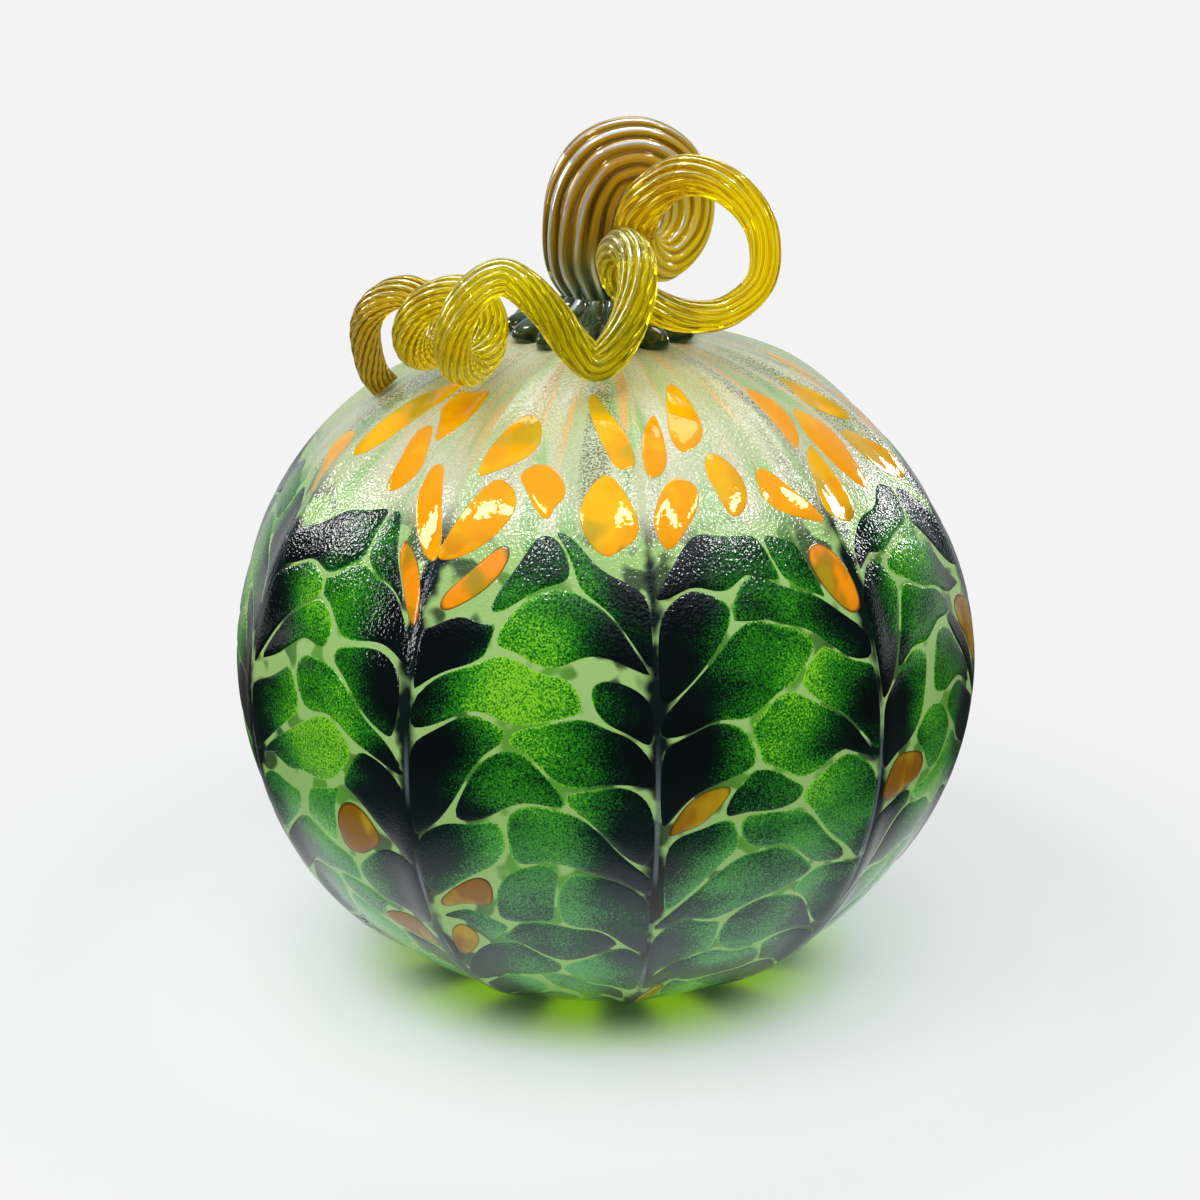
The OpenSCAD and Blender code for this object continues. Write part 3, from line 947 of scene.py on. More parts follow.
@dataclass
class FlakeField:
    """Shards and chips laid over the body, as outlines in azimuth and latitude."""

    form: BodyForm
    rows: int = 11
    top: float = 38.0
    end: float = -61.0
    arch: float = 10.0
    arch_loss: float = 0.6
    edge: float = 0.985
    shard_stretch: float = 1.9
    shard_seam: float = 0.30 * MM
    shard_column: float = 0.5
    stagger: float = 0.28
    push_across: float = 0.17
    push_along: float = 0.32
    shrink_most: float = 0.24
    shrink_power: int = 7
    hold_corner: float = 0.8
    hold_middle: float = 0.2
    cut_least: float = 0.07
    cut_more: float = 0.16
    amber_run: int = 7
    amber_tilt: float = 0.6
    melt_reach: int = 6
    chip_zone: Span = (39.5, 66.0)
    chip_rows: tuple[float, ...] = (46.0, 58.5)
    chip_columns: tuple[float, ...] = (-0.66, 0.0, 0.66)
    chip_stretch: float = 0.8
    chip_seam: float = 0.5 * MM
    chip_aside: float = 0.16
    chip_shift: float = 3.0
    chip_share: float = 0.74
    chip_scale: float = 1.08
    chip_shrink: float = 0.34
    chip_taper: float = 0.46
    chip_cut: float = 0.28
    chip_waves: Table = ((0.08, 2, Draw.WAVE_OF_TWO), (0.07, 3, Draw.WAVE_OF_THREE))
    wave_start: float = 6.0
    tip: Place = (-174.0, 55.0, 10 * MM)
    sway: float = 1.3
    bend_waves: Table = ((1.0, 13, 9), (0.35, 31, -14))
    aside_wave: Span = (5, 17)
    around: int = 48
    rings: int = 8
    rim_rings: tuple[float, ...] = (1, 0.986, 0.94)
    heart_ring: float = 0.12
    crown_power: int = 6
    rim_sink: float = 0.04 * MM
    under_sink: float = 0.5 * MM
    green_lift: float = 0.20 * MM
    amber_lift: float = 0.18 * MM
    orange_lift: float = 0.16 * MM

    def laid(self, panel: int, u: Array, lam: Array) -> Outline:
        """Azimuths and latitudes of places on a panel.

        Rows arch down to the ribs by the square of the place across, and sine waves of azimuth and
        latitude bend the seams.

        Args:
            panel: number of the panel.
            u: places across the panel, from -1 to 1.
            lam: latitudes before the arch.

        Returns:
            Azimuths and latitudes.
        """
        theta = self.form.rib_start + (panel + 0.5 + u / 2) * self.form.rib_step
        down = np.clip((self.top - lam) / (self.top - self.end), 0, 1)
        sink = self.arch * (1 - self.arch_loss * down)
        bend = sum(
            share * np.sin(np.radians(by_theta * theta + by_lam * lam))
            for share, by_theta, by_lam in self.bend_waves
        )
        by_theta, by_lam = self.aside_wave
        aside = self.sway * (1 - u**2) * np.sin(np.radians(by_lam * lam + by_theta * theta))
        return theta + aside, lam - sink * u**2 + self.sway * bend

    def zone(self, plan: CellPlan, low: float, high: float) -> Array:
        """Corners on the flat of a panel between two latitudes."""
        return plan.flat(self.edge * np.array([-1, 1, 1, -1]), np.repeat([low, high], 2))

    def shard_seeds(self, plan: CellPlan, panel: int) -> Array:
        """Two seeds in each row of a panel, pushed about.

        Args:
            plan: the panel's flat.
            panel: number of the panel.

        Returns:
            (n, 2) places on the flat.
        """
        places = []
        step = (self.top - self.end) / self.rows
        for row in range(self.rows):
            shift = self.stagger if row % 2 == 0 else -self.stagger
            for side in (-1, 1):
                push = self.push_across * spread(panel, row, side)
                along = self.push_along * spread(panel, row, side + Draw.SEED_HEIGHT)
                u = side * self.shard_column + shift + push
                places.append(plan.flat(u, self.top - (row + 0.5 + along) * step))
        return np.array(places)

    def shards(self) -> dict[Flake, list[Outline]]:
        """Outlines of the green shards and amber chips: the cells of points nearest to the seeds.

        Returns:
            For each kind, (azimuths, latitudes) of every outline.
        """
        plan = CellPlan(self.form, self.shard_stretch, self.shard_seam, self.around)
        found: dict[Flake, list[Outline]] = {Flake.GREEN: [], Flake.AMBER: []}
        zone = self.zone(plan, self.end, self.top)
        for panel in range(self.form.ribs):
            seeds = self.shard_seeds(plan, panel)
            for k, own in enumerate(seeds):
                cell = plan.cell(seeds, k, zone)
                parts = [(Flake.GREEN, cell)]
                picked = self.amber_run * scatter(panel, k // self.amber_run, Draw.AMBER_PICK)
                if k % self.amber_run == math.floor(picked):
                    tilt = self.amber_tilt * spread(panel, k, Draw.AMBER_TILT)
                    normal = np.array([math.copysign(1, own[0]), tilt])
                    limit = cell.mean(0) @ normal
                    parts = [
                        (Flake.GREEN, plan.bordered(cell, normal, limit)),
                        (Flake.AMBER, plan.bordered(cell, -normal, -limit)),
                    ]
                for kind, part in parts:
                    corner = part[math.floor(len(part) * scatter(panel, k, Draw.SHARD_CORNER))]
                    held = self.hold_middle * part.mean(0) + self.hold_corner * corner
                    small = scatter(panel, k, Draw.SHARD_SHRINK) ** self.shrink_power
                    part = held + (1 - self.shrink_most * small) * (part - held)
                    cut = self.cut_least + self.cut_more * scatter(panel, k, Draw.SHARD_CUT)
                    outline = plan.rounded(part, cut)
                    if kind is Flake.AMBER:
                        outline = plan.melted(outline, self.melt_reach)
                    found[kind].append(self.laid(panel, *plan.read(outline)))
        return found

    def chip_seeds(self, plan: CellPlan, panel: int, count: int) -> Array:
        """Seeds in rows and columns on a panel's shoulder, pushed about.

        Args:
            plan: the panel's flat.
            panel: number of the panel.
            count: number of seeds.

        Returns:
            (count, 2) places on the flat.
        """
        aside = [self.chip_aside * spread(panel, k, Draw.CHIP_ASIDE) for k in range(count)]
        shift = [self.chip_shift * spread(panel, k, Draw.CHIP_HEIGHT) for k in range(count)]
        columns = np.tile(self.chip_columns, len(self.chip_rows))
        rows = np.repeat(self.chip_rows, len(self.chip_columns))
        return plan.flat(columns + aside, rows + shift)

    def chips(self) -> list[Outline]:
        """Outlines of the orange chips: rounded cells of a few seeds, narrower at one end.

        Returns:
            (azimuths, latitudes) of every outline that is clear of the tendril's tip.
        """
        plan = CellPlan(self.form, self.chip_stretch, self.chip_seam, self.around)
        found = []
        zone = self.zone(plan, *self.chip_zone)
        tip_theta, tip_lam, tip_room = self.tip
        tip_at = self.form.point(np.array(tip_theta), np.array(tip_lam))
        turn = 2 * np.pi * np.arange(self.around) / self.around
        count = len(self.chip_rows) * len(self.chip_columns)
        for panel in range(self.form.ribs):
            seeds = self.chip_seeds(plan, panel, count)
            for k in range(count):
                if scatter(panel, k, Draw.CHIP_KEEP) >= self.chip_share:
                    continue
                cell = plan.rounded(plan.cell(seeds, k, zone), self.chip_cut)
                cell = plan.melted(cell, self.melt_reach)
                middle = cell.mean(0)
                small = 1 - self.chip_shrink * scatter(panel, k, Draw.CHIP_SIZE)
                away = (cell - middle) * self.chip_scale * small
                high = away[:, 1] / np.abs(away[:, 1]).max()
                away[:, 0] *= 1 - self.chip_taper * spread(panel, k, Draw.CHIP_TAPER) * high
                wave = sum(
                    share * np.sin(lobes * turn + self.wave_start * scatter(panel, k, key))
                    for share, lobes, key in self.chip_waves
                )
                away *= (1 + wave)[:, None]
                theta, lam = self.laid(panel, *plan.read(middle + away))
                near = np.linalg.norm(self.form.point(theta, lam) - tip_at, axis=-1).min()
                if near > tip_room:
                    found.append((theta, lam))
        return found

    def surface(
        self, outlines: list[Outline], lift: float
    ) -> tuple[Array, list[list[int]], dict[str, Array]]:
        """Crowned plates: rings shrink by rho from each outline to its middle.

        A ring rises by lift times 1 - rho^6, and the outermost one sinks a little into the body.

        Args:
            outlines: (azimuths, latitudes) of each outline.
            lift: height of a plate's middle over the body.

        Returns:
            Points, faces and attributes.
        """
        theta = np.array([o[0] for o in outlines])[:, None, :]
        lam = np.array([o[1] for o in outlines])[:, None, :]
        rims = len(self.rim_rings)
        known = [*range(rims), self.rings - 1]
        rho = np.interp(np.arange(self.rings), known, [*self.rim_rings, self.heart_ring])
        rho = rho[None, :, None]
        mid_t, mid_l = theta.mean(2, keepdims=True), lam.mean(2, keepdims=True)
        turns, lats = mid_t + rho * (theta - mid_t), mid_l + rho * (lam - mid_l)
        rise = lift * (1 - rho**self.crown_power) - self.rim_sink * (rho == self.rim_rings[0])
        rings = self.form.point(turns, lats, rise)
        under = self.form.point(mid_t[:, 0], mid_l[:, 0], -self.under_sink)
        over = self.form.point(mid_t[:, 0], mid_l[:, 0], lift)
        count, size = len(outlines), self.rings * self.around + 2
        points = np.concatenate([rings.reshape(count, -1, 3), under, over], 1)
        starts = np.arange(count)[:, None, None] * size
        plate = ring_faces(self.rings, self.around)
        faces = []
        for corners in (4, 3):
            own = np.array([face for face in plate if len(face) == corners])
            faces += (own[None] + starts).reshape(-1, corners).tolist()

        def spread_out(grid: Array, pole: Array) -> Array:
            """A value at each ring point, then at the two poles, for every plate in order.

            Args:
                grid: values on the rings.
                pole: value at both poles of each plate.

            Returns:
                A value for each vertex.
            """
            full = np.broadcast_to(grid, (count, self.rings, self.around)).reshape(count, -1)
            ends = np.broadcast_to(pole, (count, 1))
            return np.concatenate([full, ends, ends], 1).ravel()

        tint = np.array([scatter(k, Draw.TINT_ROW, Draw.TINT) for k in range(count)])[:, None]
        values = {
            "latitude": spread_out(lats, mid_l[:, 0]) / RIGHT_ANGLE,
            "rib": self.form.rib_near(spread_out(turns, mid_t[:, 0])),
            "rim": spread_out(rho, np.zeros((1, 1))),
            "tint": spread_out(tint[:, :, None], tint),
        }
        return points.reshape(-1, 3), faces, values

    def pieces(self) -> list[Piece]:
        """Builds and dresses the three groups of flakes.

        Returns:
            The green shards, the amber chips and the orange chips.
        """
        outlines = {**self.shards(), Flake.ORANGE: self.chips()}
        looks = {
            Flake.GREEN: (Bottle(), self.green_lift, "green_shards"),
            Flake.AMBER: (Tea(), self.amber_lift, "amber_chips"),
            Flake.ORANGE: (Marigold(), self.orange_lift, "orange_chips"),
        }
        made = []
        for kind, found in outlines.items():
            finish, lift, node = looks[kind]
            piece = make_piece(f"fused_{kind.value}", *self.surface(found, lift))
            made.append(settle(piece, finish.material(), f"{kind.value}_glass", node))
        return made


@dataclass(frozen=True)
class Drawn:
    """Finish of the drawn rod: clear glass, coloured along the rod, with a lustrous film and
    painted sheen on its ridges.
    """

    name: str
    stops: Stops
    valleys: Stops
    lustre_and_sheen: Colour
    painted_sheen_span: Span
    painted_sheen_share: float
    transmission: float
    coat: float
    streak_size: float = 0.10
    streak_rough: float = 0.55
    streak_round: float = 0.80
    streak_along: float = 0.35
    valley_edge: Span = (0.14, 0.66)
    valley_streaks: Span = (0.35, 0.60)
    valley_least: float = 0.50
    lit_least: float = 0.04
    lit_start: Span = (0.12, 0.20)
    gleam_edge: Span = (0.80, 0.98)
    gleam_streaks: Span = (0.62, 0.42)
    gleam_least: float = 0.34
    gleam_span: Span = (0.16, 0.58)
    gleam_metal: float = 0.40
    gleam_rough: float = 0.10
    roughness: float = 0.03
    ior: float = 1.45
    gloss: Colour = (1.0, 0.93, 0.30)
    coat_ior: float = 1.6

    def material(self) -> Material:
        """Ridge and valley colours follow the rod in streaks; ridges that face the light gleam,
        with painted sheen in their colour.

        Returns:
            The material.
        """
        s = Shading(self.name)
        along, ridge, side = s.attribute("along"), s.attribute("ridge"), s.attribute("side")
        where = s.vector(side * self.streak_round, along * self.streak_along, 0.0)
        streak = s.noise(self.streak_size, rough=self.streak_rough, where=where)
        dark = streak.step(*self.valley_streaks).raised(self.valley_least)
        low = (1 - ridge).step(*self.valley_edge) * dark
        colour = s.mix(low, s.ramp(along, self.stops), s.ramp(along, self.valleys))
        # Painted sheen: the pale lustre colour is laid on ridges that face the light way, with some
        # metal.
        facing = s.attribute("lit").step(*self.painted_sheen_span)
        lit = facing.raised(self.lit_least) * along.step(*self.lit_start)
        pale = streak.step(*self.gleam_streaks).raised(self.gleam_least)
        gleam = ridge.step(*self.gleam_edge) * lit * pale
        gleam = gleam.step(*self.gleam_span) * self.painted_sheen_share
        s.set(
            Base_Color=s.mix(gleam, colour, self.lustre_and_sheen),
            Metallic=gleam * self.gleam_metal,
            Roughness=self.roughness + gleam * self.gleam_rough,
            IOR=self.ior,
            Specular_Tint=self.gloss,
            Transmission_Weight=self.transmission,
            Coat_Weight=self.coat,
            Coat_IOR=self.coat_ior,
            Coat_Roughness=self.roughness,
        )
        return s.material


@dataclass
class DrawnVine:
    """Stem, loop and tendril: one rod drawn along a route, with flutes that twist about it."""

    form: BodyForm
    stem_d: float = 17 * MM
    loop_d: float = 9.6 * MM
    tendril_d: float = 8.2 * MM
    foot_r: float = 22 * MM
    foot_h: float = 4 * MM
    flutes: int = 14
    flute_depth: float = 0.15
    flute_points: int = 8
    stem_twist: float = 0.8
    tendril_twist: float = 6.0
    steps: int = 9
    foot_rows: Table = (
        (0.60, -0.4, 0.0), (0.90, -0.1, 0.10), (1.0, 0.4, 0.20), (0.95, 0.85, 0.22),
        (0.80, 1.1, 0.20), (0.62, 1.15, 0.16), (0.48, 1.35, 0.14), (0.40, 1.75, 0.14),
    )
    foot_steps: int = 5
    foot_along: Span = (-0.25, -0.02)
    stem_route: Table = (
        (-1, 0, -3.2, 0.80), (-2.5, 0, 0.2, 0.80), (-4.5, 0.5, 4, 0.94), (-5, 1, 10, 0.99),
        (-4, 2, 18, 1), (0, 3, 25, 0.97), (7.5, 4.5, 28.5, 0.89), (14.5, 6, 27, 0.81),
        (18.5, 7, 21.5, 0.73), (18, 6, 14, 0.67), (13.5, 2, 8.5, 0.61), (9, -4, 10, 0.58),
    )
    loop_route: Table = (
        (7, 4.5, 16.5, 1), (9.5, 0, 25, 1), (17, -3, 32.5, 0.94), (26.5, -4.5, 33.5, 0.85),
        (33.5, -5.5, 28.5, 0.75), (34, -6, 18, 0.69), (27, -6.5, 8.5, 0.71), (18.5, -7, 5, 0.75),
        (10.5, -7, 6, 0.79),
    )
    bend_route: Table = (
        (4.5, -6.5, 9.5, 0.98), (2.5, -8, 15.5, 1), (4.5, -12, 20, 1.02), (7, -16.5, 19.5, 1.02),
        (7, -20, 14, 1.02), (4, -22, 6.5, 1), (-1, -22.5, 1.2, 0.98), (-6, -22.5, 5, 0.98),
        (-11, -22.5, 12.5, 0.98), (-17, -22.5, 19.5, 0.98),
    )
    coil_points: int = 19
    coil_points_per_turn: int = 8
    coil_azimuth: Table = ((0, -121), (1, -140.5), (2, -163), (2.5, -174))
    coil_ring: Table = ((0, 42.4), (1.5, 42.6), (2, 44.8), (2.5, 45.6))
    coil_radius: Table = ((0, 10.2), (0.5, 10.2), (1, 7.2), (1.5, 6.4), (2, 6.8), (2.25, 7.6))
    coil_clear: Table = ((0, 2.2), (1, 3.2), (2, 3), (2.25, 0.6))
    coil_share: Table = ((0, 0.98), (2.25, 0.84))
    tip: tuple[float, ...] = (-174, 47.8, 0.82, 6, 0.11)
    light_way: Place = (-0.60, -0.28, 0.75)

    def routed(self, route: Table, diameter: float, front: float) -> Array:
        """Places of a route's points, each at its clear height over the shoulder, under the rod.

        Args:
            route: (x, y, clear height, share of the diameter) of each point, in millimetres.
            diameter: the rod's own.
            front: y that the route counts from.

        Returns:
            (n, 4) array of places and radii.
        """
        x, y, clear, share = np.array(route, float).T
        x, y, radius = x * MM, y * MM + front, share * diameter / 2
        height = self.form.shoulder(np.hypot(x, y)) + clear * MM + radius
        return np.stack([x, y, height, radius], -1)

    def coiled(self) -> Array:
        """Points of the corkscrew: turns round a ring that follows the shoulder.

        Returns:
            (n, 4) array of places and radii.
        """
        turn = np.arange(self.coil_points) / self.coil_points_per_turn
        radius = lookup(turn, self.coil_share) * self.tendril_d / 2
        ring, wind = lookup(turn, self.coil_ring) * MM, lookup(turn, self.coil_radius) * MM
        theta = np.radians(lookup(turn, self.coil_azimuth))
        out = ring + wind * np.sin(2 * np.pi * turn)
        low = self.form.shoulder(ring) + lookup(turn, self.coil_clear) * MM
        height = low + radius + wind * (1 + np.cos(2 * np.pi * turn))
        return np.stack([out * np.cos(theta), out * np.sin(theta), height, radius], -1)

    def rod(self) -> tuple[Array, list[int]]:
        """The whole rod, smooth through the points of its stretches.

        Returns:
            (n, 4) array of places and radii, and the numbers of the stretches' ends in it.
        """
        front = -(self.stem_d + self.loop_d) / 2
        theta, out, share, rise, tilt = self.tip
        lam = math.degrees(math.acos(out * MM / self.form.panel_radius))
        radius = share * self.tendril_d / 2
        rises = np.array([rise * MM, self.form.seat + tilt * radius])
        tip = self.form.point(np.full(2, theta), np.full(2, lam), rises)
        tip = np.hstack([tip, np.full((2, 1), radius)])
        stem = self.routed(self.stem_route, self.stem_d, 0)
        loop = self.routed(self.loop_route, self.loop_d, front)
        bend = self.routed(self.bend_route, self.tendril_d, front)
        points = np.vstack([stem, loop, bend, self.coiled(), tip])
        ends = (0, len(stem), len(stem) + len(loop), len(points) - 1)
        return smooth_curve(points, self.steps), [end * self.steps for end in ends]

    def frames(self, places: Array) -> tuple[Array, Array]:
        """Two cross directions at each place, carried along the rod without turning about it.

        Args:
            places: (n, 3) middles of the rod.

        Returns:
            Two (n, 3) arrays of unit directions.
        """
        tangent = np.gradient(places, axis=0)
        tangent /= np.linalg.norm(tangent, axis=1, keepdims=True)
        across = np.zeros_like(places)
        carried = np.array([1.0, 0, 0])
        for i, t in enumerate(tangent):
            carried = carried - (carried @ t) * t
            carried = carried / np.linalg.norm(carried)
            across[i] = carried
        return across, np.cross(tangent, across)

    def fluted(
        self, centre: Array, u: Array, v: Array, radius: Array, depth: Array, phase: Array
    ) -> Array:
        """Rings with round ridges: r times 1 - depth times 1 - |cos| of half the flutes' turn.

        Args:
            centre: (n, 3) middles of the rings.
            u: (n, 3) first cross directions.
            v: (n, 3) second cross directions.
            radius: (n,) radii over the ridges.
            depth: (n,) depths of the flutes, as shares of the radius.
            phase: (n,) turns of the rings, in degrees.

        Returns:
            (n, points, 3) array.
        """
        columns = self.flutes * self.flute_points
        a = 2 * np.pi * np.arange(columns) / columns
        cut = 1 - depth[:, None] * (1 - np.abs(np.cos(self.flutes * a / 2)))[None]
        turn = a[None] + np.radians(phase)[:, None]
        r = (radius[:, None] * cut)[..., None]
        out = np.cos(turn)[..., None] * u[:, None] + np.sin(turn)[..., None] * v[:, None]
        return centre[:, None] + r * out

    def foot(self) -> tuple[Array, Array]:
        """Rings of the lobed foot: a profile of radius, height and lobe depth, carried round.

        Returns:
            (n, points, 3) array, and each ring's place along the stem.
        """
        share, up, lobe = np.array(self.foot_rows).T
        radius = share * self.foot_r
        height = self.form.crown(radius) + self.form.seat + up * self.foot_h
        profile = smooth_curve(np.stack([radius, height, lobe], -1), self.foot_steps)
        n = len(profile)
        centre = np.stack([np.zeros(n), np.zeros(n), profile[:, 1]], -1)
        u, v = np.tile([1.0, 0, 0], (n, 1)), np.tile([0, 1.0, 0], (n, 1))
        rings = self.fluted(centre, u, v, profile[:, 0], profile[:, 2], np.zeros(n))
        return rings, np.linspace(*self.foot_along, n)

    def pieces(self, finishes: Sequence[Drawn]) -> list[Piece]:
        """Builds and dresses the stem with its foot, the loop and the tendril.

        Args:
            finishes: their finishes, in that order.

        Returns:
            The three pieces.
        """
        rod, marks = self.rod()
        places, radius = rod[:, :3], rod[:, 3]
        across, up = self.frames(places)
        i = np.arange(len(rod))
        share = np.clip((i - marks[1]) / (marks[3] - marks[1]), 0, 1)
        rate = self.stem_twist + (self.tendril_twist - self.stem_twist) * share
        length = np.concatenate([[0], np.linalg.norm(np.diff(places, axis=0), axis=1)]) / MM
        twist = np.cumsum(rate * length)
        depth = np.full(len(rod), self.flute_depth)
        rings = self.fluted(places, across, up, radius, depth, twist)
        before = -self.foot_along[0]
        made = []
        for number, (node, finish) in enumerate(zip(("stem", "loop", "tendril"), finishes)):
            first, last = marks[number], marks[number + 1]
            part = rings[first : last + 1]
            along = (i[first : last + 1] - first) / (last - first)
            start, end = places[first], places[last]
            if node == "stem":
                foot, foot_along = self.foot()
                part, along = np.concatenate([foot, part]), np.concatenate([foot_along, along])
                start = foot[0].mean(0)
            count, columns = part.shape[:2]
            points = np.vstack([part.reshape(-1, 3), start, end])
            # How far each point faces the light way, for the painted sheen on the ridges.
            out = part - part.mean(1, keepdims=True)
            lit = out @ np.array(self.light_way) / np.linalg.norm(out, axis=-1)
            a = np.arange(columns) / columns
            ridge = np.abs(np.cos(self.flutes * np.pi * a))
            values = {
                "along": np.append(np.repeat((along + before) / (1 + before), columns), [0, 1]),
                "ridge": np.append(np.tile(ridge, count), [0, 0]),
                "lit": np.append(lit.ravel(), [0, 0]),
                "side": np.append(np.tile(np.abs(2 * a - 1), count), [0, 0]),
            }
            piece = make_piece(f"drawn_{node}", points, ring_faces(count, columns), values)
            made.append(settle(piece, finish.material(), f"{node}_glass", node))
        return made


class LampUse(Enum):
    """What a lamp is for: to light the colours, or only to glint on the glass."""

    SOFT = "soft"
    GLINT = "glint"


@dataclass(frozen=True)
class Lamp:
    """A rectangular lamp: its use, the way to it from the body, its sides and its brightness."""

    name: str
    use: LampUse
    way: Place
    size: Span
    bright: float


@dataclass
class Studio:
    """Plain white surround: a pale floor, lamps overhead and the camera at the photo's angle."""

    form: BodyForm
    camera_at: Place = (0.0, -0.6257, 0.2931)
    looks_at: Place = (0.0, 0.0, 0.074)
    lens: float = 86.4
    sensor: float = 36.0
    shift: Span = (-0.0023, 0.0405)
    lamp_middle: Place = (0.0, 0.0, 0.09)
    lamp_reach: float = 0.80
    lamps: tuple[Lamp, ...] = (
        Lamp("lamp_front", LampUse.GLINT, (-0.32, -0.33, 0.89), (0.20, 0.06), 40.0),
        Lamp("lamp_right", LampUse.GLINT, (0.55, -0.18, 0.82), (0.20, 0.06), 38.0),
        Lamp("lamp_left", LampUse.GLINT, (-0.84, 0.27, 0.46), (0.18, 0.16), 15.0),
        Lamp("lamp_far", LampUse.GLINT, (0.77, 0.56, 0.31), (0.16, 0.10), 20.0),
        Lamp("lamp_above", LampUse.GLINT, (0.10, 0.32, 0.94), (0.50, 0.24), 5.5),
        Lamp("lamp_side", LampUse.GLINT, (-0.80, -0.35, 0.36), (0.06, 0.40), 14.0),
        Lamp("lamp_soft", LampUse.SOFT, (-0.15, -0.25, 0.95), (0.9, 0.9), 1.7),
    )
    daylight: float = 0.72
    paper: float = 0.896
    floor_points: int = 96
    floor_rings: tuple[float, ...] = (8.0, 2.0, 0.5)
    floor_depth: float = 0.01
    floor_pale: Colour = (0.84, 0.84, 0.85)
    floor_rough: float = 0.55
    green_reach: Span = (0.066, 0.037)
    green_share: float = 0.85
    lime: Colour = (0.36, 0.60, 0.01)
    lime_glow: Colour = (0.12, 0.23, 0.002)
    rib_shadow_edge: Span = (0.05, 1.0)
    rib_shadow_reach: Span = (0.061, 0.037)
    rib_shadow_share: float = 0.92
    rib_shadow: Colour = (0.02, 0.07, 0.015)
    rib_shadow_glow: Colour = (0.008, 0.035, 0.012)
    shadow_fill_reach: Span = (0.14, 0.05)
    shadow_fill_glow: Colour = (0.28, 0.325, 0.31)
    paper_from: Span = (0.07, 0.26)
    paper_through: Span = (0.05, 0.12)
    mirror_from: Span = (0.08, 0.16)
    mirror_front: Colour = (0.03, 0.03, 0.03)
    mirror_rear: Colour = (0.55, 0.57, 0.57)
    mirror_turn: Span = (0.10, 0.50)
    mirror_least: float = 0.045
    mirror_tone: Colour = (0.80, 0.93, 1.0)
    ceiling_span: Span = (0.50, 0.92)
    ceiling: float = 1.05
    wall_span: Span = (0.40, 0.85)
    wall: float = 0.60
    through_least: float = 0.90
    through_high: float = 0.40

    def floor(self) -> None:
        """A wide pale disc, with painted green light through the body on it, painted rib shadows in
        that, and painted light round its base.

        Far off, the camera sees plain paper, and mirror rays see a dim front and a paler rear.
        """
        a = 2 * np.pi * np.arange(self.floor_points) / self.floor_points
        circle = np.stack([np.cos(a), np.sin(a), 0 * a], -1)
        rings = np.array(self.floor_rings)[:, None, None] * circle
        points = np.vstack([rings.reshape(-1, 3), [[0, 0, -self.floor_depth], [0, 0, 0]]])
        disc = make_piece("floor", points, ring_faces(len(rings), self.floor_points), {})
        s = Shading("floor_paper")
        length = s.node("ShaderNodeVectorMath", {"operation": "LENGTH"}, {0: s.place()})
        away = Number(s, length.outputs["Value"])
        x, y = s.split(s.place(), "X"), s.split(s.place(), "Y")
        # Painted rib shadows: the turn from the nearest rib sets dark spokes in the green.
        first_rib = math.radians(self.form.rib_start * self.form.ribs)
        turn = s.math("ARCTAN2", y, x) * self.form.ribs - first_rib
        between = 0.5 - 0.5 * s.math("COSINE", turn)
        # Painted pool of green light round the base, in base colour and emission, darkened by the
        # painted rib shadows.
        green = away.step(*self.green_reach)
        dark = (1 - between).step(*self.rib_shadow_edge) * away.step(*self.rib_shadow_reach)
        dark = dark * self.rib_shadow_share
        lime = s.mix(dark, self.lime, self.rib_shadow)
        # Painted light that lifts the floor's shadow near the base.
        shade = s.mix(away.step(*self.shadow_fill_reach), (0, 0, 0), self.shadow_fill_glow)
        glow = s.mix(dark, self.lime_glow, self.rib_shadow_glow)
        s.set(
            Base_Color=s.mix(green * self.green_share, self.floor_pale, lime),
            Roughness=self.floor_rough,
            Emission_Color=s.mix(green, shade, glow),
            Emission_Strength=1.0,
        )
        through = s.ray("Is Transmission Ray")
        far = away.step(*self.paper_from) * s.ray("Is Camera Ray")
        far = far + away.step(*self.paper_through) * through
        seen = s.blend(far, s.surface.outputs["BSDF"], s.glow((self.paper,) * 3))
        rear = y.step(*self.mirror_turn)
        dim = s.blend(rear, s.glow(self.mirror_front), s.glow(self.mirror_rear))
        mirror = s.ray("Is Glossy Ray") * (1 - through) * away.step(*self.mirror_from)
        s.plug(s.output.inputs["Surface"], s.blend(mirror, seen, dim))
        disc.data.materials.append(s.material)

    def world(self) -> None:
        """Even daylight, and plain paper for the camera.

        Mirror rays see a ceiling and a back wall over a dim front.
        """
        world = bpy.data.worlds.new("surround")
        bpy.context.scene.world = world
        nodes = Nodes(world)
        way = nodes.node("ShaderNodeTexCoord", {}, {}).outputs["Generated"]
        high = nodes.split(way, "Z").step(*self.ceiling_span)
        back = nodes.split(way, "Y").step(*self.wall_span)
        through = nodes.ray("Is Transmission Ray")
        mirror = nodes.ray("Is Glossy Ray") * (1 - through)
        light = mirror * (self.mirror_least + self.ceiling * high + self.wall * back)
        light = light + through * (self.through_least + self.through_high * high)
        light = light + (1 - mirror - through) * self.daylight
        camera = nodes.ray("Is Camera Ray")
        strength = camera * self.paper + (1 - camera) * light
        tone = nodes.mix(mirror, (1, 1, 1), self.mirror_tone)
        shade = nodes.node("ShaderNodeBackground", {}, {"Color": tone, "Strength": strength})
        nodes.node("ShaderNodeOutputWorld", {}, {"Surface": shade.outputs["Background"]})

    @staticmethod
    def aimed(name: str, data: Any, place: Vector, way: Vector) -> Piece:
        """Puts a lamp or camera into the scene.

        Args:
            name: name of the object.
            data: the lamp's or camera's own data.
            place: where it stands.
            way: which way it looks.

        Returns:
            The object.
        """
        made = bpy.data.objects.new(name, data)
        made.location = place
        made.rotation_euler = way.to_track_quat("-Z", "Y").to_euler()
        bpy.context.scene.collection.objects.link(made)
        return made

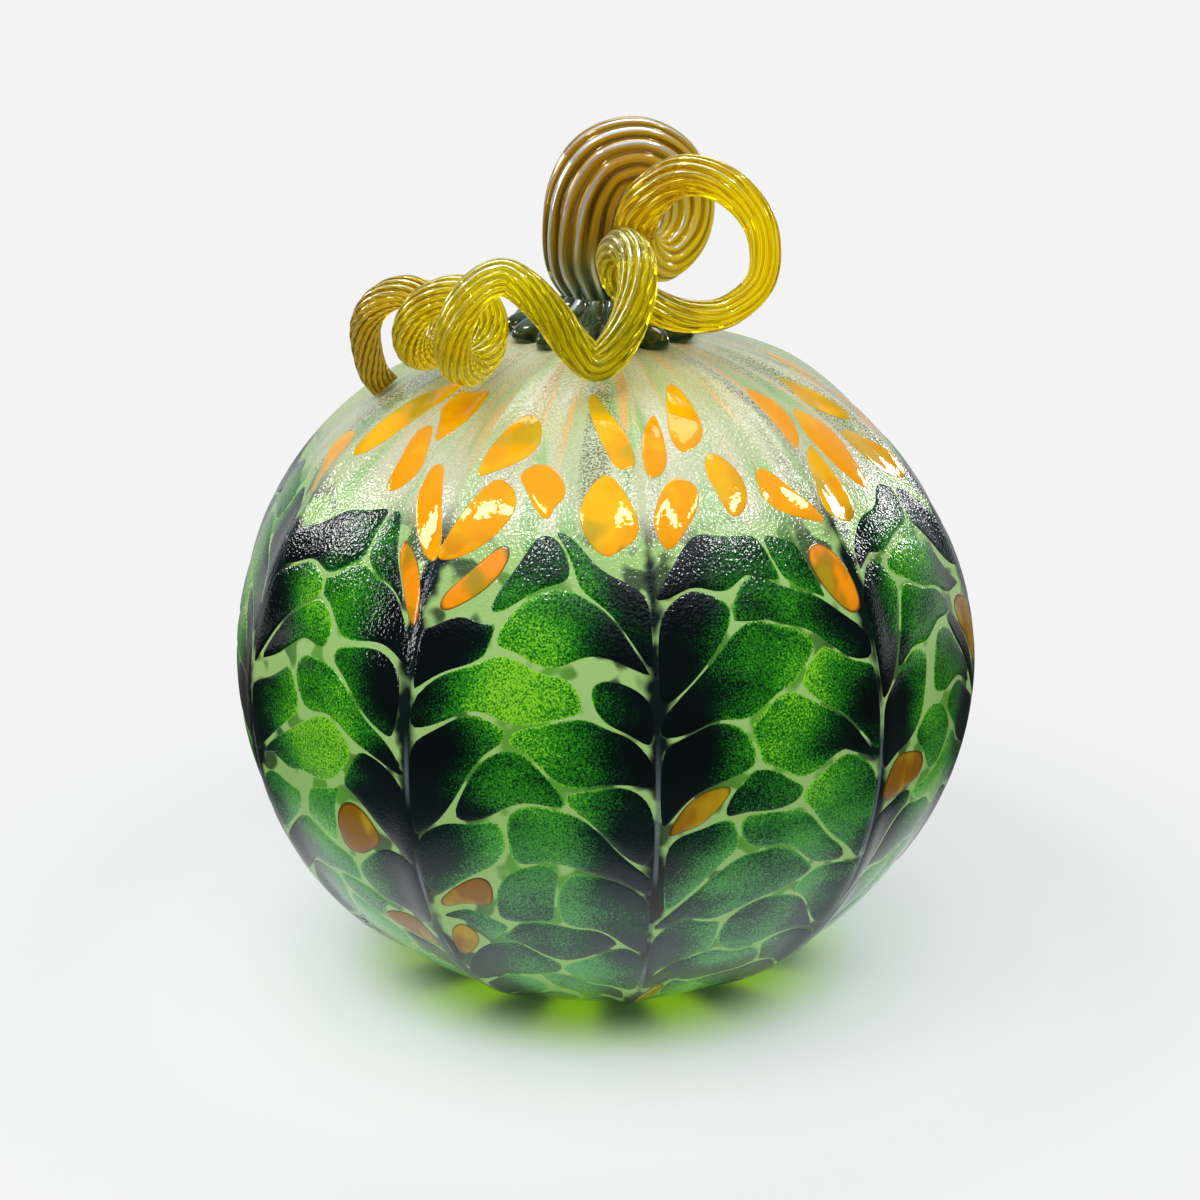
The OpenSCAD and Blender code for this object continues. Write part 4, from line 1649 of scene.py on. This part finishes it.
    def lights(self) -> None:
        """Rectangular lamps all round above the body, which look at its middle.

        A lamp's power is its brightness times its area times pi.
        """
        middle = Vector(self.lamp_middle)
        for lamp in self.lamps:
            data = bpy.data.lights.new(lamp.name, "AREA")
            data.shape = "RECTANGLE"
            data.size, data.size_y = lamp.size
            data.energy = lamp.bright * math.pi * lamp.size[0] * lamp.size[1]
            way = Vector(lamp.way)
            made = self.aimed(lamp.name, data, middle + self.lamp_reach * way.normalized(), -way)
            made.visible_diffuse = lamp.use is LampUse.SOFT
            made.visible_glossy = made.visible_transmission = lamp.use is LampUse.GLINT

    def camera(self) -> None:
        """The camera, at the photograph's place and framing."""
        data = bpy.data.cameras.new("camera")
        data.lens, data.sensor_width = self.lens, self.sensor
        data.shift_x, data.shift_y = self.shift
        place = Vector(self.camera_at)
        eye = self.aimed("camera", data, place, Vector(self.looks_at) - place)
        bpy.context.scene.camera = eye

    def build(self) -> None:
        """Sets up the whole surround."""
        bpy.context.scene.view_settings.view_transform = "Standard"
        self.floor()
        self.world()
        self.lights()
        self.camera()


VINE_FINISHES = (
    Drawn(
        name="stem_lustre_and_sheen",
        stops=(
            (0.0, (0.016, 0.036, 0.012)), (0.16, (0.05, 0.12, 0.06)), (0.27, (0.12, 0.23, 0.10)),
            (0.38, (0.34, 0.21, 0.010)), (0.55, (0.66, 0.34, 0.008)), (0.68, (0.72, 0.50, 0.05)),
            (0.80, (1.0, 0.78, 0.01)), (1.0, (1.0, 0.82, 0.005)),
        ),
        valleys=(
            (0.0, (0.004, 0.010, 0.008)), (0.27, (0.006, 0.022, 0.018)),
            (0.38, (0.030, 0.010, 0.002)), (0.68, (0.17, 0.065, 0.002)), (1.0, (0.72, 0.40, 0.001)),
        ),
        lustre_and_sheen=(0.92, 0.93, 1.0),
        painted_sheen_span=(-0.06, 0.56),
        painted_sheen_share=1.0,
        transmission=0.50,
        coat=0.50,
    ),
    Drawn(
        name="loop_lustre_and_sheen",
        stops=((0.0, (1.0, 0.70, 0.004)), (0.5, (1.0, 0.82, 0.003)), (1.0, (1.0, 0.80, 0.004))),
        valleys=(
            (0.0, (0.48, 0.21, 0.001)), (0.5, (0.66, 0.36, 0.001)), (1.0, (0.50, 0.28, 0.001)),
        ),
        lustre_and_sheen=(0.98, 0.93, 0.55),
        painted_sheen_span=(0.14, 0.80),
        painted_sheen_share=0.85,
        transmission=0.84,
        coat=0.25,
    ),
    Drawn(
        name="tendril_lustre_and_sheen",
        stops=(
            (0.0, (1.0, 0.84, 0.004)), (0.30, (1.0, 0.90, 0.006)), (0.72, (1.0, 0.84, 0.006)),
            (0.88, (0.95, 0.66, 0.015)), (1.0, (0.48, 0.28, 0.010)),
        ),
        valleys=(
            (0.0, (0.46, 0.27, 0.001)), (0.30, (0.42, 0.33, 0.002)), (0.68, (0.38, 0.23, 0.002)),
            (0.84, (0.15, 0.065, 0.002)), (1.0, (0.022, 0.012, 0.003)),
        ),
        lustre_and_sheen=(0.97, 0.94, 0.70),
        painted_sheen_span=(0.14, 0.80),
        painted_sheen_share=1.0,
        transmission=0.84,
        coat=0.28,
    ),
)


def main() -> None:
    """Builds the pumpkin and its surround in order, and reports each piece."""
    logging.basicConfig(level=logging.INFO, format="%(name)s: %(message)s")
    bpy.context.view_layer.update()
    form = BodyForm()
    pieces = [BlownBody(form).piece()]
    pieces += FlakeField(form).pieces()
    pieces += DrawnVine(form).pieces(VINE_FINISHES)
    for piece in pieces:
        mesh = piece.data
        LOG.info("%s: %d points, %d faces", piece.name, len(mesh.vertices), len(mesh.polygons))
    Studio(form).build()


if __name__ == "__main__":
    main()
